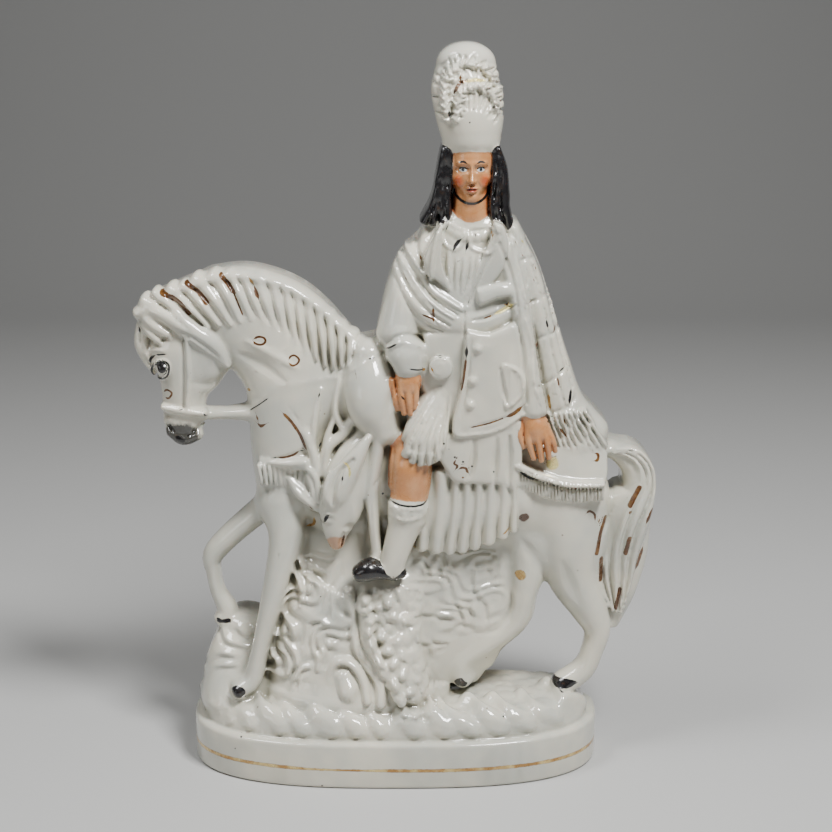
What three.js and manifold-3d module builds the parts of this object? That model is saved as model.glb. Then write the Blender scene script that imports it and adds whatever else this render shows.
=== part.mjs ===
// A Staffordshire flatback: a Highland rider on a standing horse, a hunted deer slung in front of the rider.
// The whole group is one press-moulded earthenware casting on one base, flat behind, so it is one solid.
import * as THREE from 'three';
import { mergeVertices } from 'three/addons/utils/BufferGeometryUtils.js';
import Module from 'manifold-3d';

const wasm = await Module();
wasm.setup();

// Driving dimensions, in millimetres. X runs to the right seen from the front, Y to the back and Z up.
// The origin is the middle of the underside.
const FIGURE_HEIGHT = 355; // from the plain band of the base to the crown of the hat
const FIGURE_BACK = 20; // the flat back, behind the middle plane of the figures
const BACK_ROUNDING = 3; // how far the edge of the flat back lies inside the outline
const BACK_EXCESS = 1; // cut off behind the flat back
const BAND_HEIGHT = 25; // the plain band round the base
const BASE_LENGTH = 220;
const BASE_FRONT = 55; // the base in front of the middle plane
const BASE_BACK = 28; // the base behind the middle plane
const BASE_SQUARENESS = 2.7; // power of the rounded plan: 2 is an ellipse
const BAND_ROUNDING = 2; // on the two edges of the band
const GROUND_INSET = 3; // from the face of the band to the foot of the rocky ground
const GROUND_RISE = 13; // the rocky ground above the band
const GROUND_SHOULDER = 14; // how far in the ground reaches its height
const ROCK_PITCH = 17; // along the front edge
const ROCK_CLEFT = 4; // how far the clefts between the rocks go in
const ROCK_UNEVENNESS = 0.35; // of the rocks' width and height, as a share of half the pitch

// Numbers of faces and of repeated forms
const GRID = 0.001; // corners closer than this are one corner
const SMALL_SIDES = 3; // round a small form, such as a lock or a finger: its back is flat
const MEDIUM_SIDES = 6;
const LARGE_SIDES = 8;
const FLAT_COLUMNS = 2; // of a form that runs to the flat of the back
const GROOVE_DEPTH = 0.26; // of a fluted or stranded form, as a share of its half width or half depth
const DOME_SIZE = 0.72; // the dome that ends a form: a ring of this size,
const DOME_REACH = 0.5; // this far out, and a tip, as shares of half the width or of the depth
const TIP_REACH = 0.8;
const FINE_STEPS = 400; // to measure the length of the front edge
const POINTS_BEHIND = 10;
const SHOULDER_STEPS = 3;
const MANE_LOCKS = 12;
const TAIL_STRANDS = 6;
const FINGERS = 4;
const HAIR_LOCKS = 4;
const COLLAR_GATHERS = 4;
const SHIRT_FOLDS = 4;
const SASH_FOLDS = 4;
const PLAID_BARS = 6;
const PLAID_TASSELS = 5;
const KILT_PLEATS = 7;
const THIGH_FOLDS = 5;
const BREAST_TASSELS = 5;
const BLANKET_TASSELS = 9;
const BARK_KNOBS = 4;
const STUMP_FOLDS = 7;
const STUMP_KNOTS = 3;
const ROCK_FOLDS = 4;
const ROCK_KNOTS = 2;

// The section of a fringe or of pleats: five flat faces
const FRINGE = { sides: 5, square: 0.5 };

// The figures keep their pose as thousandths of the figure's height: x, then z above the band, then y.
const share = (thousandths) => (thousandths * FIGURE_HEIGHT) / 1000;
const height = (thousandths) => BAND_HEIGHT + share(thousandths);

/** Welds a closed geometry, its corners set on a fine grid, into a solid with its faces outwards. */
function solid(geometry) {
  geometry.deleteAttribute('normal');
  geometry.deleteAttribute('uv');
  const points = geometry.attributes.position;
  for (let i = 0; i < points.array.length; i += 1) {
    points.array[i] = Math.round(points.array[i] / GRID) * GRID;
  }
  const welded = mergeVertices(geometry, GRID / 2);
  const corners = welded.attributes.position;
  const faces = Uint32Array.from(welded.index.array);
  const [a, b, c] = [new THREE.Vector3(), new THREE.Vector3(), new THREE.Vector3()];
  let volume = 0;
  for (let i = 0; i < faces.length; i += 3) {
    a.fromBufferAttribute(corners, faces[i]);
    b.fromBufferAttribute(corners, faces[i + 1]);
    c.fromBufferAttribute(corners, faces[i + 2]);
    volume += a.dot(b.cross(c));
  }
  if (volume < 0) {
    for (let i = 0; i < faces.length; i += 3) [faces[i], faces[i + 1]] = [faces[i + 1], faces[i]];
  }
  return new wasm.Manifold(
    new wasm.Mesh({ numProp: 3, vertProperties: new Float32Array(corners.array), triVerts: faces }),
  );
}

/** A coordinate of an oval made squarer: a power below 1 fills out its corners. */
const squared = (value, power) => Math.sign(value) * Math.abs(value) ** power;

/** Where a column of a section stands: most of them share the front, because little is seen of the back. */
function columnAngle(column, around, behind) {
  const inFront = around - behind;
  if (column < inFront) return Math.PI * (1 + column / (inFront - 1));
  return (Math.PI * (column - inFront + 1)) / (behind + 1);
}

/**
 * A limb: a ball drawn out along a smooth path, with an oval section at each station.
 * A station is [x, z, y, half the width seen from the front, half the depth], in thousandths.
 * Forms with many sides get domed ends, the others end in a tip.
 * Flutes are ridges across the path and strands are ridges along it, with grooves between them.
 * A flat form runs straight back to the flat of the back, the others are round all over.
 */
function limb(
  stations,
  { sides = SMALL_SIDES, flutes = 0, strands = 0, lean = 0, square = 1, flat = false } = {},
) {
  const path = new THREE.CatmullRomCurve3(stations.map(([x, z, y]) => new THREE.Vector3(x, y, z)));
  const sections = new THREE.CatmullRomCurve3(stations.map(([, , , w, d]) => new THREE.Vector3(w, d, 0)));
  const around = strands ? 2 * strands : sides;
  const behind = flat ? FLAT_COLUMNS : Math.floor(around / 4);
  const count = flutes ? 2 * flutes + 1 : stations.length;
  const rows = [];
  for (let i = 0; i < count; i += 1) {
    rows.push({ t: i / (count - 1), size: 1, reach: 0, groove: flutes > 0 && i % 2 === 0 });
  }
  if (around >= LARGE_SIDES && !flutes && !strands) {
    rows.unshift({ t: 0, size: DOME_SIZE, reach: -DOME_REACH });
    rows.push({ t: 1, size: DOME_SIZE, reach: DOME_REACH });
  }
  rows.unshift({ t: 0, size: 0, reach: -TIP_REACH });
  rows.push({ t: 1, size: 0, reach: TIP_REACH });
  const ball = new THREE.SphereGeometry(1, around, rows.length - 1);
  const corners = ball.attributes.position;
  for (let i = 0; i < corners.count; i += 1) {
    const { t, size, reach, groove } = rows[Math.floor(i / (around + 1))];
    const column = (i % (around + 1)) % around;
    const angle = columnAngle(column, around, behind);
    const leaning = t + 4 * t * (1 - t) * lean * Math.cos(angle);
    const centre = path.getPoint(leaning);
    const before = path.getPoint(Math.max(leaning - 0.02, 0));
    const along = path.getPoint(Math.min(leaning + 0.02, 1)).sub(before);
    along.y = 0;
    along.normalize();
    const section = sections.getPoint(leaning);
    const end = reach * Math.min(section.x, section.y);
    const inGroove = groove || (strands > 0 && column % 2 === 0);
    const sunk = inGroove ? GROOVE_DEPTH * Math.min(section.x, section.y) : 0;
    const halfWidth = share(size * (section.x - (strands ? sunk : 0)));
    let across = halfWidth * squared(Math.cos(angle), square);
    let y = share(centre.y + size * (section.y - sunk) * squared(Math.sin(angle), square));
    if (flat && size > 0 && column >= around - behind) {
      across = Math.sign(Math.cos(angle)) * Math.max(halfWidth - BACK_ROUNDING, halfWidth / 2);
      y = FIGURE_BACK + BACK_EXCESS;
    }
    corners.setXYZ(
      i,
      share(centre.x + along.x * end) + along.z * across,
      y,
      height(centre.z + along.z * end) - along.x * across,
    );
  }
  return solid(ball);
}

/** Stations of a broad form between two edges, each a list of [x, z], with the same [y, depth] all along. */
function between(upper, lower, y, depth) {
  return upper.map(([x, z], i) => {
    const [u, v] = lower[i];
    return [(x + u) / 2, (z + v) / 2, y, Math.hypot(x - u, z - v) / 2, depth];
  });
}

// Horse

const HORSE_BARREL = [
  [-154, 380, 3, 50, 40], [-97, 370, 0, 88, 50], [8, 360, 0, 93, 55], [128, 347, 0, 93, 55],
  [231, 341, 0, 83, 55], [288, 344, 0, 42, 45],
];
const HORSE_NECK = [
  [-167, 328, 0, 39, 45], [-160, 399, 0, 54, 51], [-155, 461, 0, 62, 51], [-154, 518, 0, 69, 48],
  [-174, 567, 0, 73, 42], [-217, 608, 0, 70, 37], [-276, 626, 0, 53, 31],
];
const HORSE_HEAD = [
  [-313, 602, -3, 47, 28], [-305, 569, -6, 56, 34], [-302, 534, -6, 53, 34], [-308, 504, -6, 37, 31],
  [-311, 478, -6, 31, 28], [-311, 453, -6, 31, 28], [-310, 436, -6, 22, 20],
];
const HORSE_JOWL = [[-277, 576, -6, 32, 34], [-273, 558, -6, 34, 35], [-274, 540, -6, 29, 31]];
const WITHERS = [[-104, 496, 2, 66, 36], [-40, 500, -4, 78, 44], [34, 506, -6, 82, 46]];
const NEAR_FORELEG = [
  [-166, 332, -11, 42, 42], [-163, 280, -32, 26, 33], [-182, 196, -53, 18, 26], [-202, 118, -60, 13, 22],
  [-214, 70, -65, 15, 23], [-234, 55, -75, 14, 23],
];
const RAISED_FORELEG = [
  [-171, 327, 6, 30, 37], [-207, 309, 6, 20, 28], [-273, 247, 6, 17, 23],
  [-277, 213, 6, 12, 20], [-271, 180, 6, 12, 20], [-258, 152, 5, 16, 21], [-266, 138, 2, 14, 20],
];
const NEAR_HIND_LEG = [
  [251, 376, 0, 54, 54], [265, 283, -6, 60, 54], [272, 217, -11, 44, 45], [294, 166, -17, 30, 34],
  [308, 130, -20, 21, 27], [301, 95, -23, 17, 23], [288, 66, -25, 18, 23], [256, 43, -31, 19, 24],
];
const FAR_HIND_LEG = [
  [208, 273, 0, 46, 48], [196, 197, -14, 24, 37], [190, 156, -20, 20, 30], [168, 129, -25, 18, 25],
  [133, 107, -28, 17, 24], [105, 90, -34, 17, 23], [99, 70, -37, 14, 23], [104, 55, -39, 14, 23],
];
const EAR = [
  [-366, 633, -17, 8, 14], [-318, 612, -32, 14, 15],
  [-268, 578, -34, 14, 15], [-244, 543, -25, 7, 12],
];
const FORELOCK = [[-368, 623, -11, 7, 14], [-351, 606, -23, 10, 14], [-327, 590, -31, 9, 11]];
const FOREHEAD_TUFT = [[-362, 611, -3, 14, 20], [-366, 575, -3, 18, 22], [-354, 539, -3, 14, 20]];
const EYE = [[-343, 547, -30, 8, 8], [-331, 542, -33, 13, 9], [-322, 536, -34, 8, 8]];
const NOSTRIL = [[-330, 452, -26, 7, 8], [-324, 441, -26, 8, 8]];
const CHEEK_STRAP = [[-303, 586, -39, 4, 6], [-302, 536, -39, 4, 6], [-307, 482, -34, 4, 6]];
const NOSE_BAND = [[-339, 480, -20, 7, 17], [-306, 476, -34, 7, 8], [-278, 472, -23, 7, 17]];
const REIN = [[-295, 465, -3, 12, 20], [-251, 466, -3, 10, 17], [-208, 468, -3, 15, 25]];
const BREAST_STRAP = [[-195, 402, -34, 7, 11], [-160, 402, -49, 7, 11], [-130, 396, -52, 7, 11]];
const BREAST_FRINGE_TOP = [[-203, 398], [-165, 396], [-132, 386]];
const BREAST_FRINGE_FOOT = [[-198, 362], [-163, 360], [-136, 362]];
const MANE_CREST = [
  [-376, 626], [-331, 652], [-287, 670], [-244, 680], [-200, 677], [-157, 664], [-122, 642], [-89, 612],
  [-61, 584], [-38, 560],
];
const MANE_FOOT = [
  [-322, 596], [-283, 588], [-243, 590], [-206, 592], [-180, 584], [-157, 569], [-137, 552], [-113, 536],
  [-84, 532], [-52, 540],
];
const TAIL = [
  [300, 414, 8, 15, 25], [332, 404, 8, 15, 25], [360, 379, 6, 23, 28], [369, 345, 3, 26, 31],
  [354, 312, 0, 42, 34], [348, 241, 0, 43, 34], [344, 184, 0, 28, 28], [334, 133, 3, 12, 20],
];
const BLANKET_TOP = [[178, 426], [234, 436], [280, 434], [312, 424]];
const BLANKET_FOOT = [[184, 392], [232, 376], [276, 368], [312, 368]];
const BLANKET_FRINGE_FOOT = [[182, 356], [222, 342], [256, 336], [310, 340]];

function horse() {
  const mane = between(MANE_CREST, MANE_FOOT, 4, 38);
  return [
    limb(HORSE_BARREL, { sides: LARGE_SIDES, flat: true }),
    limb(HORSE_NECK, { sides: LARGE_SIDES, flat: true }),
    limb(HORSE_HEAD, { sides: LARGE_SIDES }),
    limb(HORSE_JOWL, { sides: MEDIUM_SIDES }),
    limb(mane, { sides: MEDIUM_SIDES, flutes: MANE_LOCKS, lean: -0.05, flat: true }),
    limb(WITHERS, { sides: MEDIUM_SIDES, flat: true }),
    limb(NEAR_FORELEG, { sides: MEDIUM_SIDES }),
    limb(RAISED_FORELEG, { sides: MEDIUM_SIDES }),
    limb(NEAR_HIND_LEG, { sides: LARGE_SIDES }),
    limb(FAR_HIND_LEG, { sides: MEDIUM_SIDES }),
    limb(EAR),
    limb(FORELOCK),
    limb(FOREHEAD_TUFT),
    limb(EYE),
    limb(NOSTRIL),
    limb(CHEEK_STRAP),
    limb(NOSE_BAND),
    limb(REIN, { sides: MEDIUM_SIDES }),
    limb(BREAST_STRAP),
    limb(between(BREAST_FRINGE_TOP, BREAST_FRINGE_FOOT, -36, 20), { ...FRINGE, flutes: BREAST_TASSELS }),
    limb(TAIL, { strands: TAIL_STRANDS, flat: true }),
    limb(between(BLANKET_TOP, BLANKET_FOOT, -36, 30), { sides: MEDIUM_SIDES, flat: true }),
    limb(between(BLANKET_FOOT, BLANKET_FRINGE_FOOT, -38, 26), { ...FRINGE, flutes: BLANKET_TASSELS }),
  ];
}

// Rider

const TORSO = [
  [112, 744, -11, 64, 34], [109, 690, -14, 88, 45], [108, 605, -17, 86, 52],
  [112, 510, -17, 90, 56], [119, 420, -17, 80, 54],
];
const LEFT_ARM = [[33, 722, -11, 27, 31], [18, 668, -19, 29, 34], [8, 592, -37, 36, 34]];
const LEFT_CUFF = [[8, 596, -42, 34, 36], [15, 568, -49, 37, 37], [20, 546, -54, 31, 32]];
const LEFT_PALM = [[19, 540, -56, 22, 23], [20, 524, -60, 24, 26], [20, 509, -62, 20, 22]];
const LEFT_KNUCKLES = [[0, 528], [18, 526], [38, 530]];
const LEFT_FINGER_TIPS = [[4, 480], [20, 474], [36, 486]];
const RIGHT_SLEEVE = [
  [159, 716, -17, 26, 37], [179, 640, -33, 19, 36],
  [188, 565, -42, 17, 32], [202, 485, -51, 20, 28],
];
const RIGHT_PALM = [[193, 475, -56, 17, 21], [198, 458, -60, 22, 26], [203, 443, -62, 22, 22]];
const RIGHT_KNUCKLES = [[180, 458], [200, 453], [224, 456]];
const RIGHT_FINGER_TIPS = [[188, 422], [208, 408], [232, 416]];
const SASH = [
  [14, 712, -34, 22, 20], [30, 668, -48, 28, 25], [56, 632, -55, 31, 26], [92, 612, -58, 28, 25],
  [132, 622, -55, 28, 23], [176, 643, -44, 24, 20],
];
const SASH_TURNED_END = [[118, 652, -64, 7, 10], [140, 661, -67, 10, 12], [170, 663, -57, 9, 11]];
const LEFT_LAPEL = [
  [60, 748, -36, 11, 13], [50, 717, -52, 14, 14],
  [52, 682, -60, 10, 14], [67, 648, -66, 6, 11],
];
const RIGHT_LAPEL = [
  [151, 739, -34, 11, 14], [145, 704, -51, 16, 14],
  [128, 669, -59, 11, 14], [110, 638, -62, 6, 11],
];
const COLLAR_TOP = [[84, 748], [104, 742], [124, 742], [142, 748]];
const COLLAR_FOOT = [[80, 708], [94, 704], [112, 704], [134, 712]];
const SHIRT_FRONT = [[99, 708, -36, 26, 28], [98, 680, -40, 17, 26], [100, 652, -44, 8, 24]];
const COAT_SKIRT = [
  [134, 610, -48, 34, 24], [137, 560, -52, 42, 28], [138, 500, -54, 49, 30], [134, 466, -54, 48, 27],
];
const COAT_LEFT_SKIRT = [[72, 590, -46, 26, 22], [70, 550, -48, 29, 24], [66, 524, -48, 28, 22]];
const COAT_FRONT_EDGE = [
  [104, 621, -72, 4, 8], [103, 583, -76, 4, 8],
  [97, 532, -78, 4, 8], [90, 462, -76, 4, 8],
];
const COAT_HEM = [
  [86, 450, -70, 5, 10], [124, 448, -76, 5, 10],
  [157, 461, -73, 5, 10], [187, 486, -60, 5, 10],
];
const POCKET_FLAP = [[152, 556, -72, 5, 8], [163, 530, -76, 9, 11], [168, 498, -74, 5, 8]];
const BUTTONS = [[122, 580], [112, 545], [107, 512]];
const BUTTON_SIZE = 6;
const BUCKLE = [[63, 549, -56, 14, 14], [69, 547, -56, 14, 14]];
const APRON_TOP = [[52, 446], [92, 462], [136, 466], [182, 458]];
const APRON_FOOT = [[60, 408], [86, 370], [126, 364], [180, 372]];
const APRON_FOLDS = [
  [[121, 446, -76, 6, 9], [123, 411, -78, 8, 10], [122, 376, -76, 6, 8]],
  [[154, 452, -74, 8, 9], [155, 414, -76, 9, 10], [152, 376, -72, 7, 8]],
];
const PLEAT_TOP = [[44, 424], [90, 440], [134, 440], [178, 424]];
const PLEAT_FOOT = [[28, 264], [82, 264], [140, 282], [180, 306]];
const THIGH = [[62, 500, -44, 20, 21], [45, 461, -58, 25, 26], [40, 436, -62, 24, 26]];
const KNEE = [
  [24, 440, -49, 22, 25], [25, 408, -64, 30, 27],
  [23, 374, -66, 28, 27], [20, 347, -66, 27, 25],
];
const SOCK_CUFF = [[20, 342, -67, 31, 30], [19, 322, -67, 30, 28]];
const SOCK = [
  [19, 324, -68, 26, 25], [8, 291, -71, 22, 23],
  [-1, 260, -74, 19, 21], [-5, 245, -74, 18, 20],
];
const SHOE = [
  [5, 240, -77, 7, 14], [-15, 244, -80, 9, 15],
  [-36, 251, -83, 16, 21], [-52, 248, -83, 10, 17],
];
const NECK = [[110, 794, -16, 23, 25], [110, 763, -18, 25, 28], [111, 736, -17, 36, 34]];
const HEAD_EGG = [
  [110, 866, -16, 28, 31], [110, 840, -18, 31, 35],
  [110, 815, -20, 28, 33], [110, 798, -22, 19, 27],
];
const BROW = [[88, 844, -40, 4, 7], [110, 847, -49, 4, 8], [132, 844, -40, 4, 7]];
const NOSE = [[110, 843, -47, 3, 7], [110, 820, -52, 6, 11]];
const LIPS = [[100, 806, -44, 3, 7], [110, 806, -48, 4, 8], [120, 806, -44, 3, 7]];
const HAIR_LEFT = [
  [80, 852, -8, 11, 25], [70, 820, -6, 16, 28],
  [63, 789, -6, 20, 25], [60, 756, -8, 24, 22],
];
const HAIR_BEHIND = [[110, 860, 8, 36, 26], [108, 815, 8, 44, 26], [108, 748, 6, 58, 22]];
const HAIR_RIGHT = [
  [142, 852, -8, 11, 25], [150, 821, -8, 13, 28], [149, 789, -11, 14, 28], [155, 763, -14, 16, 23],
  [158, 747, -14, 13, 17],
];
const HAT = [
  [102, 971, 2, 42, 38], [103, 938, -3, 50, 48], [107, 905, -6, 49, 52], [110, 877, -8, 45, 51],
  [110, 860, -11, 41, 45],
];
const HAT_BAND = [[78, 860, -37, 7, 14], [108, 869, -56, 8, 11], [142, 860, -37, 7, 14]];
const HAT_PLUMES = [
  [
    [82, 894, -50, 5, 10], [71, 938, -40, 8, 13], [88, 970, -31, 9, 13],
    [118, 968, -32, 8, 13], [134, 952, -31, 6, 9],
  ],
  [
    [91, 904, -56, 6, 10], [90, 936, -52, 9, 13], [108, 944, -50, 9, 13],
    [126, 934, -47, 8, 13], [138, 908, -42, 6, 9],
  ],
];
const PLAID_FRONT = [[160, 748], [172, 680], [184, 613], [196, 554], [206, 487], [222, 424]];
const PLAID_BACK = [[180, 740], [213, 680], [235, 608], [255, 524], [281, 466], [324, 418]];
const PLAID_FRINGE_TOP = [[228, 478], [258, 474], [290, 466]];
const PLAID_FRINGE_FOOT = [[246, 428], [274, 412], [314, 418]];

/** Stations of a low round button, its middle at x and z. */
const button = (x, z) => [[x - 1, z, -70, BUTTON_SIZE, 7], [x + 1, z, -70, BUTTON_SIZE, 7]];

function rider() {
  return [
    limb(TORSO, { sides: LARGE_SIDES, flat: true }),
    limb(LEFT_ARM, { sides: MEDIUM_SIDES, flat: true }),
    limb(LEFT_CUFF, { sides: MEDIUM_SIDES }),
    limb(LEFT_PALM),
    limb(between(LEFT_KNUCKLES, LEFT_FINGER_TIPS, -64, 17), { ...FRINGE, flutes: FINGERS }),
    limb(RIGHT_SLEEVE, { sides: MEDIUM_SIDES }),
    limb(RIGHT_PALM),
    limb(between(RIGHT_KNUCKLES, RIGHT_FINGER_TIPS, -64, 17), { ...FRINGE, flutes: FINGERS }),
    limb(SASH, { strands: SASH_FOLDS }),
    limb(SASH_TURNED_END),
    limb(LEFT_LAPEL),
    limb(RIGHT_LAPEL),
    limb(between(COLLAR_TOP, COLLAR_FOOT, -38, 24), { ...FRINGE, flutes: COLLAR_GATHERS }),
    limb(SHIRT_FRONT, { strands: SHIRT_FOLDS }),
    limb(COAT_SKIRT, { sides: MEDIUM_SIDES }),
    limb(COAT_LEFT_SKIRT),
    limb(COAT_FRONT_EDGE),
    limb(COAT_HEM),
    limb(POCKET_FLAP),
    ...BUTTONS.map(([x, z]) => limb(button(x, z), { sides: MEDIUM_SIDES })),
    limb(BUCKLE, { sides: MEDIUM_SIDES }),
    limb(between(APRON_TOP, APRON_FOOT, -46, 32), FRINGE),
    ...APRON_FOLDS.map((fold) => limb(fold)),
    limb(between(PLEAT_TOP, PLEAT_FOOT, -36, 36), { ...FRINGE, flutes: KILT_PLEATS }),
    limb(THIGH, { strands: THIGH_FOLDS }),
    limb(KNEE, { sides: MEDIUM_SIDES }),
    limb(SOCK_CUFF, { sides: MEDIUM_SIDES }),
    limb(SOCK, { sides: MEDIUM_SIDES }),
    limb(SHOE, { sides: MEDIUM_SIDES }),
    limb(NECK, { sides: MEDIUM_SIDES }),
    limb(HEAD_EGG, { sides: LARGE_SIDES }),
    limb(BROW),
    limb(NOSE),
    limb(LIPS),
    limb(HAIR_BEHIND, { sides: MEDIUM_SIDES, flat: true }),
    limb(HAIR_LEFT, { strands: HAIR_LOCKS, flat: true }),
    limb(HAIR_RIGHT, { strands: HAIR_LOCKS, flat: true }),
    limb(HAT, { sides: LARGE_SIDES, flat: true }),
    limb(HAT_BAND),
    ...HAT_PLUMES.map((plume) => limb(plume)),
    limb(between(PLAID_FRONT, PLAID_BACK, -4, 38), { sides: MEDIUM_SIDES, flutes: PLAID_BARS, flat: true }),
    limb(between(PLAID_FRINGE_TOP, PLAID_FRINGE_FOOT, -18, 30), {
      sides: MEDIUM_SIDES,
      flutes: PLAID_TASSELS,
      square: FRINGE.square,
      flat: true,
    }),
  ];
}

// Deer

const DEER = [
  [[-38, 562, -24, 26, 30], [-34, 524, -38, 38, 38], [-30, 486, -46, 38, 38], [-16, 450, -44, 28, 30]],
  [
    [-44, 446, -34, 24, 26], [-60, 406, -50, 35, 34], [-72, 366, -57, 34, 36], [-78, 330, -60, 27, 31],
    [-82, 296, -60, 19, 26], [-80, 276, -60, 13, 20],
  ],
  [[-42, 446, -76, 5, 14], [-64, 404, -78, 17, 24], [-86, 348, -76, 5, 16]],
  [[-158, 378, -42, 5, 14], [-134, 358, -50, 14, 20], [-108, 330, -58, 6, 14]],
  [[-24, 440, -46, 13, 24], [-36, 372, -50, 14, 26], [-32, 300, -54, 11, 24], [-27, 262, -56, 14, 24]],
];
const ANTLERS = [
  [[-100, 384, -48, 10, 20], [-128, 446, -40, 10, 17], [-166, 506, -36, 6, 14]],
  [[-122, 426, -42, 8, 18], [-114, 464, -38, 8, 17], [-98, 514, -34, 5, 14]],
  [[-96, 386, -48, 10, 20], [-66, 440, -46, 11, 20], [-58, 500, -42, 9, 19], [-62, 546, -32, 5, 14]],
  [[-72, 438, -46, 8, 17], [-80, 464, -42, 8, 16], [-92, 496, -36, 5, 14]],
];

function deer() {
  return [
    ...DEER.map((form) => limb(form, { sides: MEDIUM_SIDES })),
    ...ANTLERS.map((antler) => limb(antler)),
  ];
}

// Rocks and plants under the horse

const STUMP = [
  [10, 292, -8, 164, 42], [6, 225, -14, 190, 48], [-8, 165, -22, 188, 56], [-44, 105, -34, 158, 66],
  [-44, 45, -48, 166, 84],
];
const LEFT_ROCK = [
  [-224, 126, -6, 38, 38], [-230, 104, -14, 50, 54], [-234, 72, -26, 60, 74], [-238, 26, -36, 64, 88],
];
const ROOTS = [
  [
    [-66, 206, -62, 9, 14], [-65, 165, -70, 9, 14], [-59, 128, -82, 9, 14], [-40, 101, -92, 9, 14],
    [-17, 74, -104, 9, 14], [-4, 47, -118, 9, 14],
  ],
  [
    [-48, 195, -68, 9, 17], [-43, 166, -76, 10, 17], [-37, 134, -86, 10, 17], [-22, 106, -95, 10, 17],
    [2, 79, -107, 9, 14],
  ],
  [
    [-98, 61, -90, 7, 14], [-97, 89, -88, 7, 14], [-79, 107, -88, 7, 14], [-58, 98, -93, 7, 14],
    [-43, 74, -104, 7, 14], [-33, 50, -118, 7, 14],
  ],
];
const KNOB = [[-79, 88, -93, 19, 20], [-69, 71, -103, 19, 23], [-63, 57, -109, 13, 17]];
const BARK = [[4, 224, -46, 44, 28], [4, 170, -56, 44, 32], [6, 110, -72, 40, 36], [4, 66, -84, 30, 36]];

function undergrowth() {
  return [
    limb(STUMP, { strands: STUMP_FOLDS, flutes: STUMP_KNOTS, flat: true }),
    limb(LEFT_ROCK, { strands: ROCK_FOLDS, flutes: ROCK_KNOTS, flat: true }),
    ...ROOTS.map((root) => limb(root)),
    limb(KNOB, { sides: MEDIUM_SIDES }),
    limb(BARK, { strands: BARK_KNOBS, flutes: BARK_KNOBS }),
  ];
}

// Base

/** A point of the rounded plan: a superellipse, shallower behind the middle plane than in front of it. */
function planPoint(angle, inset) {
  const power = 2 / BASE_SQUARENESS;
  const [c, s] = [Math.cos(angle), Math.sin(angle)];
  const depth = (s < 0 ? BASE_FRONT : BASE_BACK) - inset;
  const length = BASE_LENGTH / 2 - inset;
  return [Math.sign(c) * Math.abs(c) ** power * length, Math.sign(s) * Math.abs(s) ** power * depth];
}

/** The angles round the plan: two for each rock along the front, no two rocks alike, and a few behind. */
function planAngles() {
  const fine = [];
  let walked = 0;
  let [x, y] = planPoint(Math.PI, 0);
  for (let i = 0; i <= FINE_STEPS; i += 1) {
    const angle = Math.PI * (1 + i / FINE_STEPS);
    const [u, v] = planPoint(angle, 0);
    walked += Math.hypot(u - x, v - y);
    fine.push({ angle, walked });
    [x, y] = [u, v];
  }
  const columns = 2 * Math.round(walked / ROCK_PITCH);
  const angles = [];
  for (let i = 0; i < columns; i += 1) {
    const uneven = i + ROCK_UNEVENNESS * Math.sin(i * i);
    angles.push(fine.find((step) => step.walked >= (walked * uneven) / columns).angle);
  }
  for (let i = 0; i < POINTS_BEHIND; i += 1) angles.push((Math.PI * i) / POINTS_BEHIND);
  return angles;
}

/** The base: the plain band, and the ground whose shoulder is broken into rocks along the front. */
function base() {
  const angles = planAngles();
  const levels = [
    { inset: BAND_ROUNDING, z: 0, cleft: 0 },
    { inset: 0, z: BAND_ROUNDING, cleft: 0 },
    { inset: 0, z: BAND_HEIGHT - BAND_ROUNDING, cleft: 0 },
    { inset: BAND_ROUNDING, z: BAND_HEIGHT, cleft: 0 },
  ];
  for (let i = 0; i <= SHOULDER_STEPS; i += 1) {
    const turn = (i / SHOULDER_STEPS) * (Math.PI / 2);
    levels.push({
      inset: GROUND_INSET + GROUND_SHOULDER * (1 - Math.cos(turn)),
      z: BAND_HEIGHT + GROUND_RISE * Math.sin(turn),
      cleft: ROCK_CLEFT * Math.cos(turn / 2),
    });
  }
  levels.push({ inset: GROUND_INSET + 2 * GROUND_SHOULDER, z: BAND_HEIGHT + GROUND_RISE - 1, cleft: 0 });
  const rows = [levels[0], ...levels, levels[levels.length - 1]];
  const ball = new THREE.SphereGeometry(1, angles.length, rows.length - 1);
  const corners = ball.attributes.position;
  for (let i = 0; i < corners.count; i += 1) {
    const row = Math.floor(i / (angles.length + 1));
    const column = (i % (angles.length + 1)) % angles.length;
    const { inset, z, cleft } = rows[row];
    const rock = angles[column] > Math.PI && column % 2 === 0;
    const pole = row === 0 || row === rows.length - 1;
    const deep = rock ? cleft * (1 + ROCK_UNEVENNESS * Math.sin(column * column)) : 0;
    const [x, y] = pole ? [0, 0] : planPoint(angles[column], inset + deep);
    corners.setXYZ(i, x, y, z - deep / 2);
  }
  return solid(ball);
}

// The casting

/** Everything behind the flat of the back, as a block to cut away. */
function behindTheBack() {
  const reach = FIGURE_HEIGHT + BAND_HEIGHT + BASE_LENGTH;
  const block = new THREE.BoxGeometry(2 * reach, reach, 2 * reach);
  return solid(block.translate(0, FIGURE_BACK + reach / 2, 0));
}

/** Everything below the base, so that roots and rocks end at the underside. */
function belowTheBase() {
  const reach = BASE_LENGTH + FIGURE_HEIGHT;
  return solid(new THREE.BoxGeometry(reach, reach, reach).translate(0, 0, -reach / 2));
}

const figures = wasm.Manifold.union([...horse(), ...rider(), ...deer(), ...undergrowth()]);
const casting = figures.subtract(behindTheBack()).subtract(belowTheBase()).add(base());

// The walls are not modelled, so voids sealed between the forms are filled: the largest piece is the outside.
const outside = casting.decompose().sort((a, b) => b.volume() - a.volume())[0];

const shell = outside.getMesh();
const geometry = new THREE.BufferGeometry();
geometry.setAttribute('position', new THREE.BufferAttribute(shell.vertProperties, 3));
geometry.setIndex(new THREE.BufferAttribute(shell.triVerts, 1));
geometry.computeVertexNormals();

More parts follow.
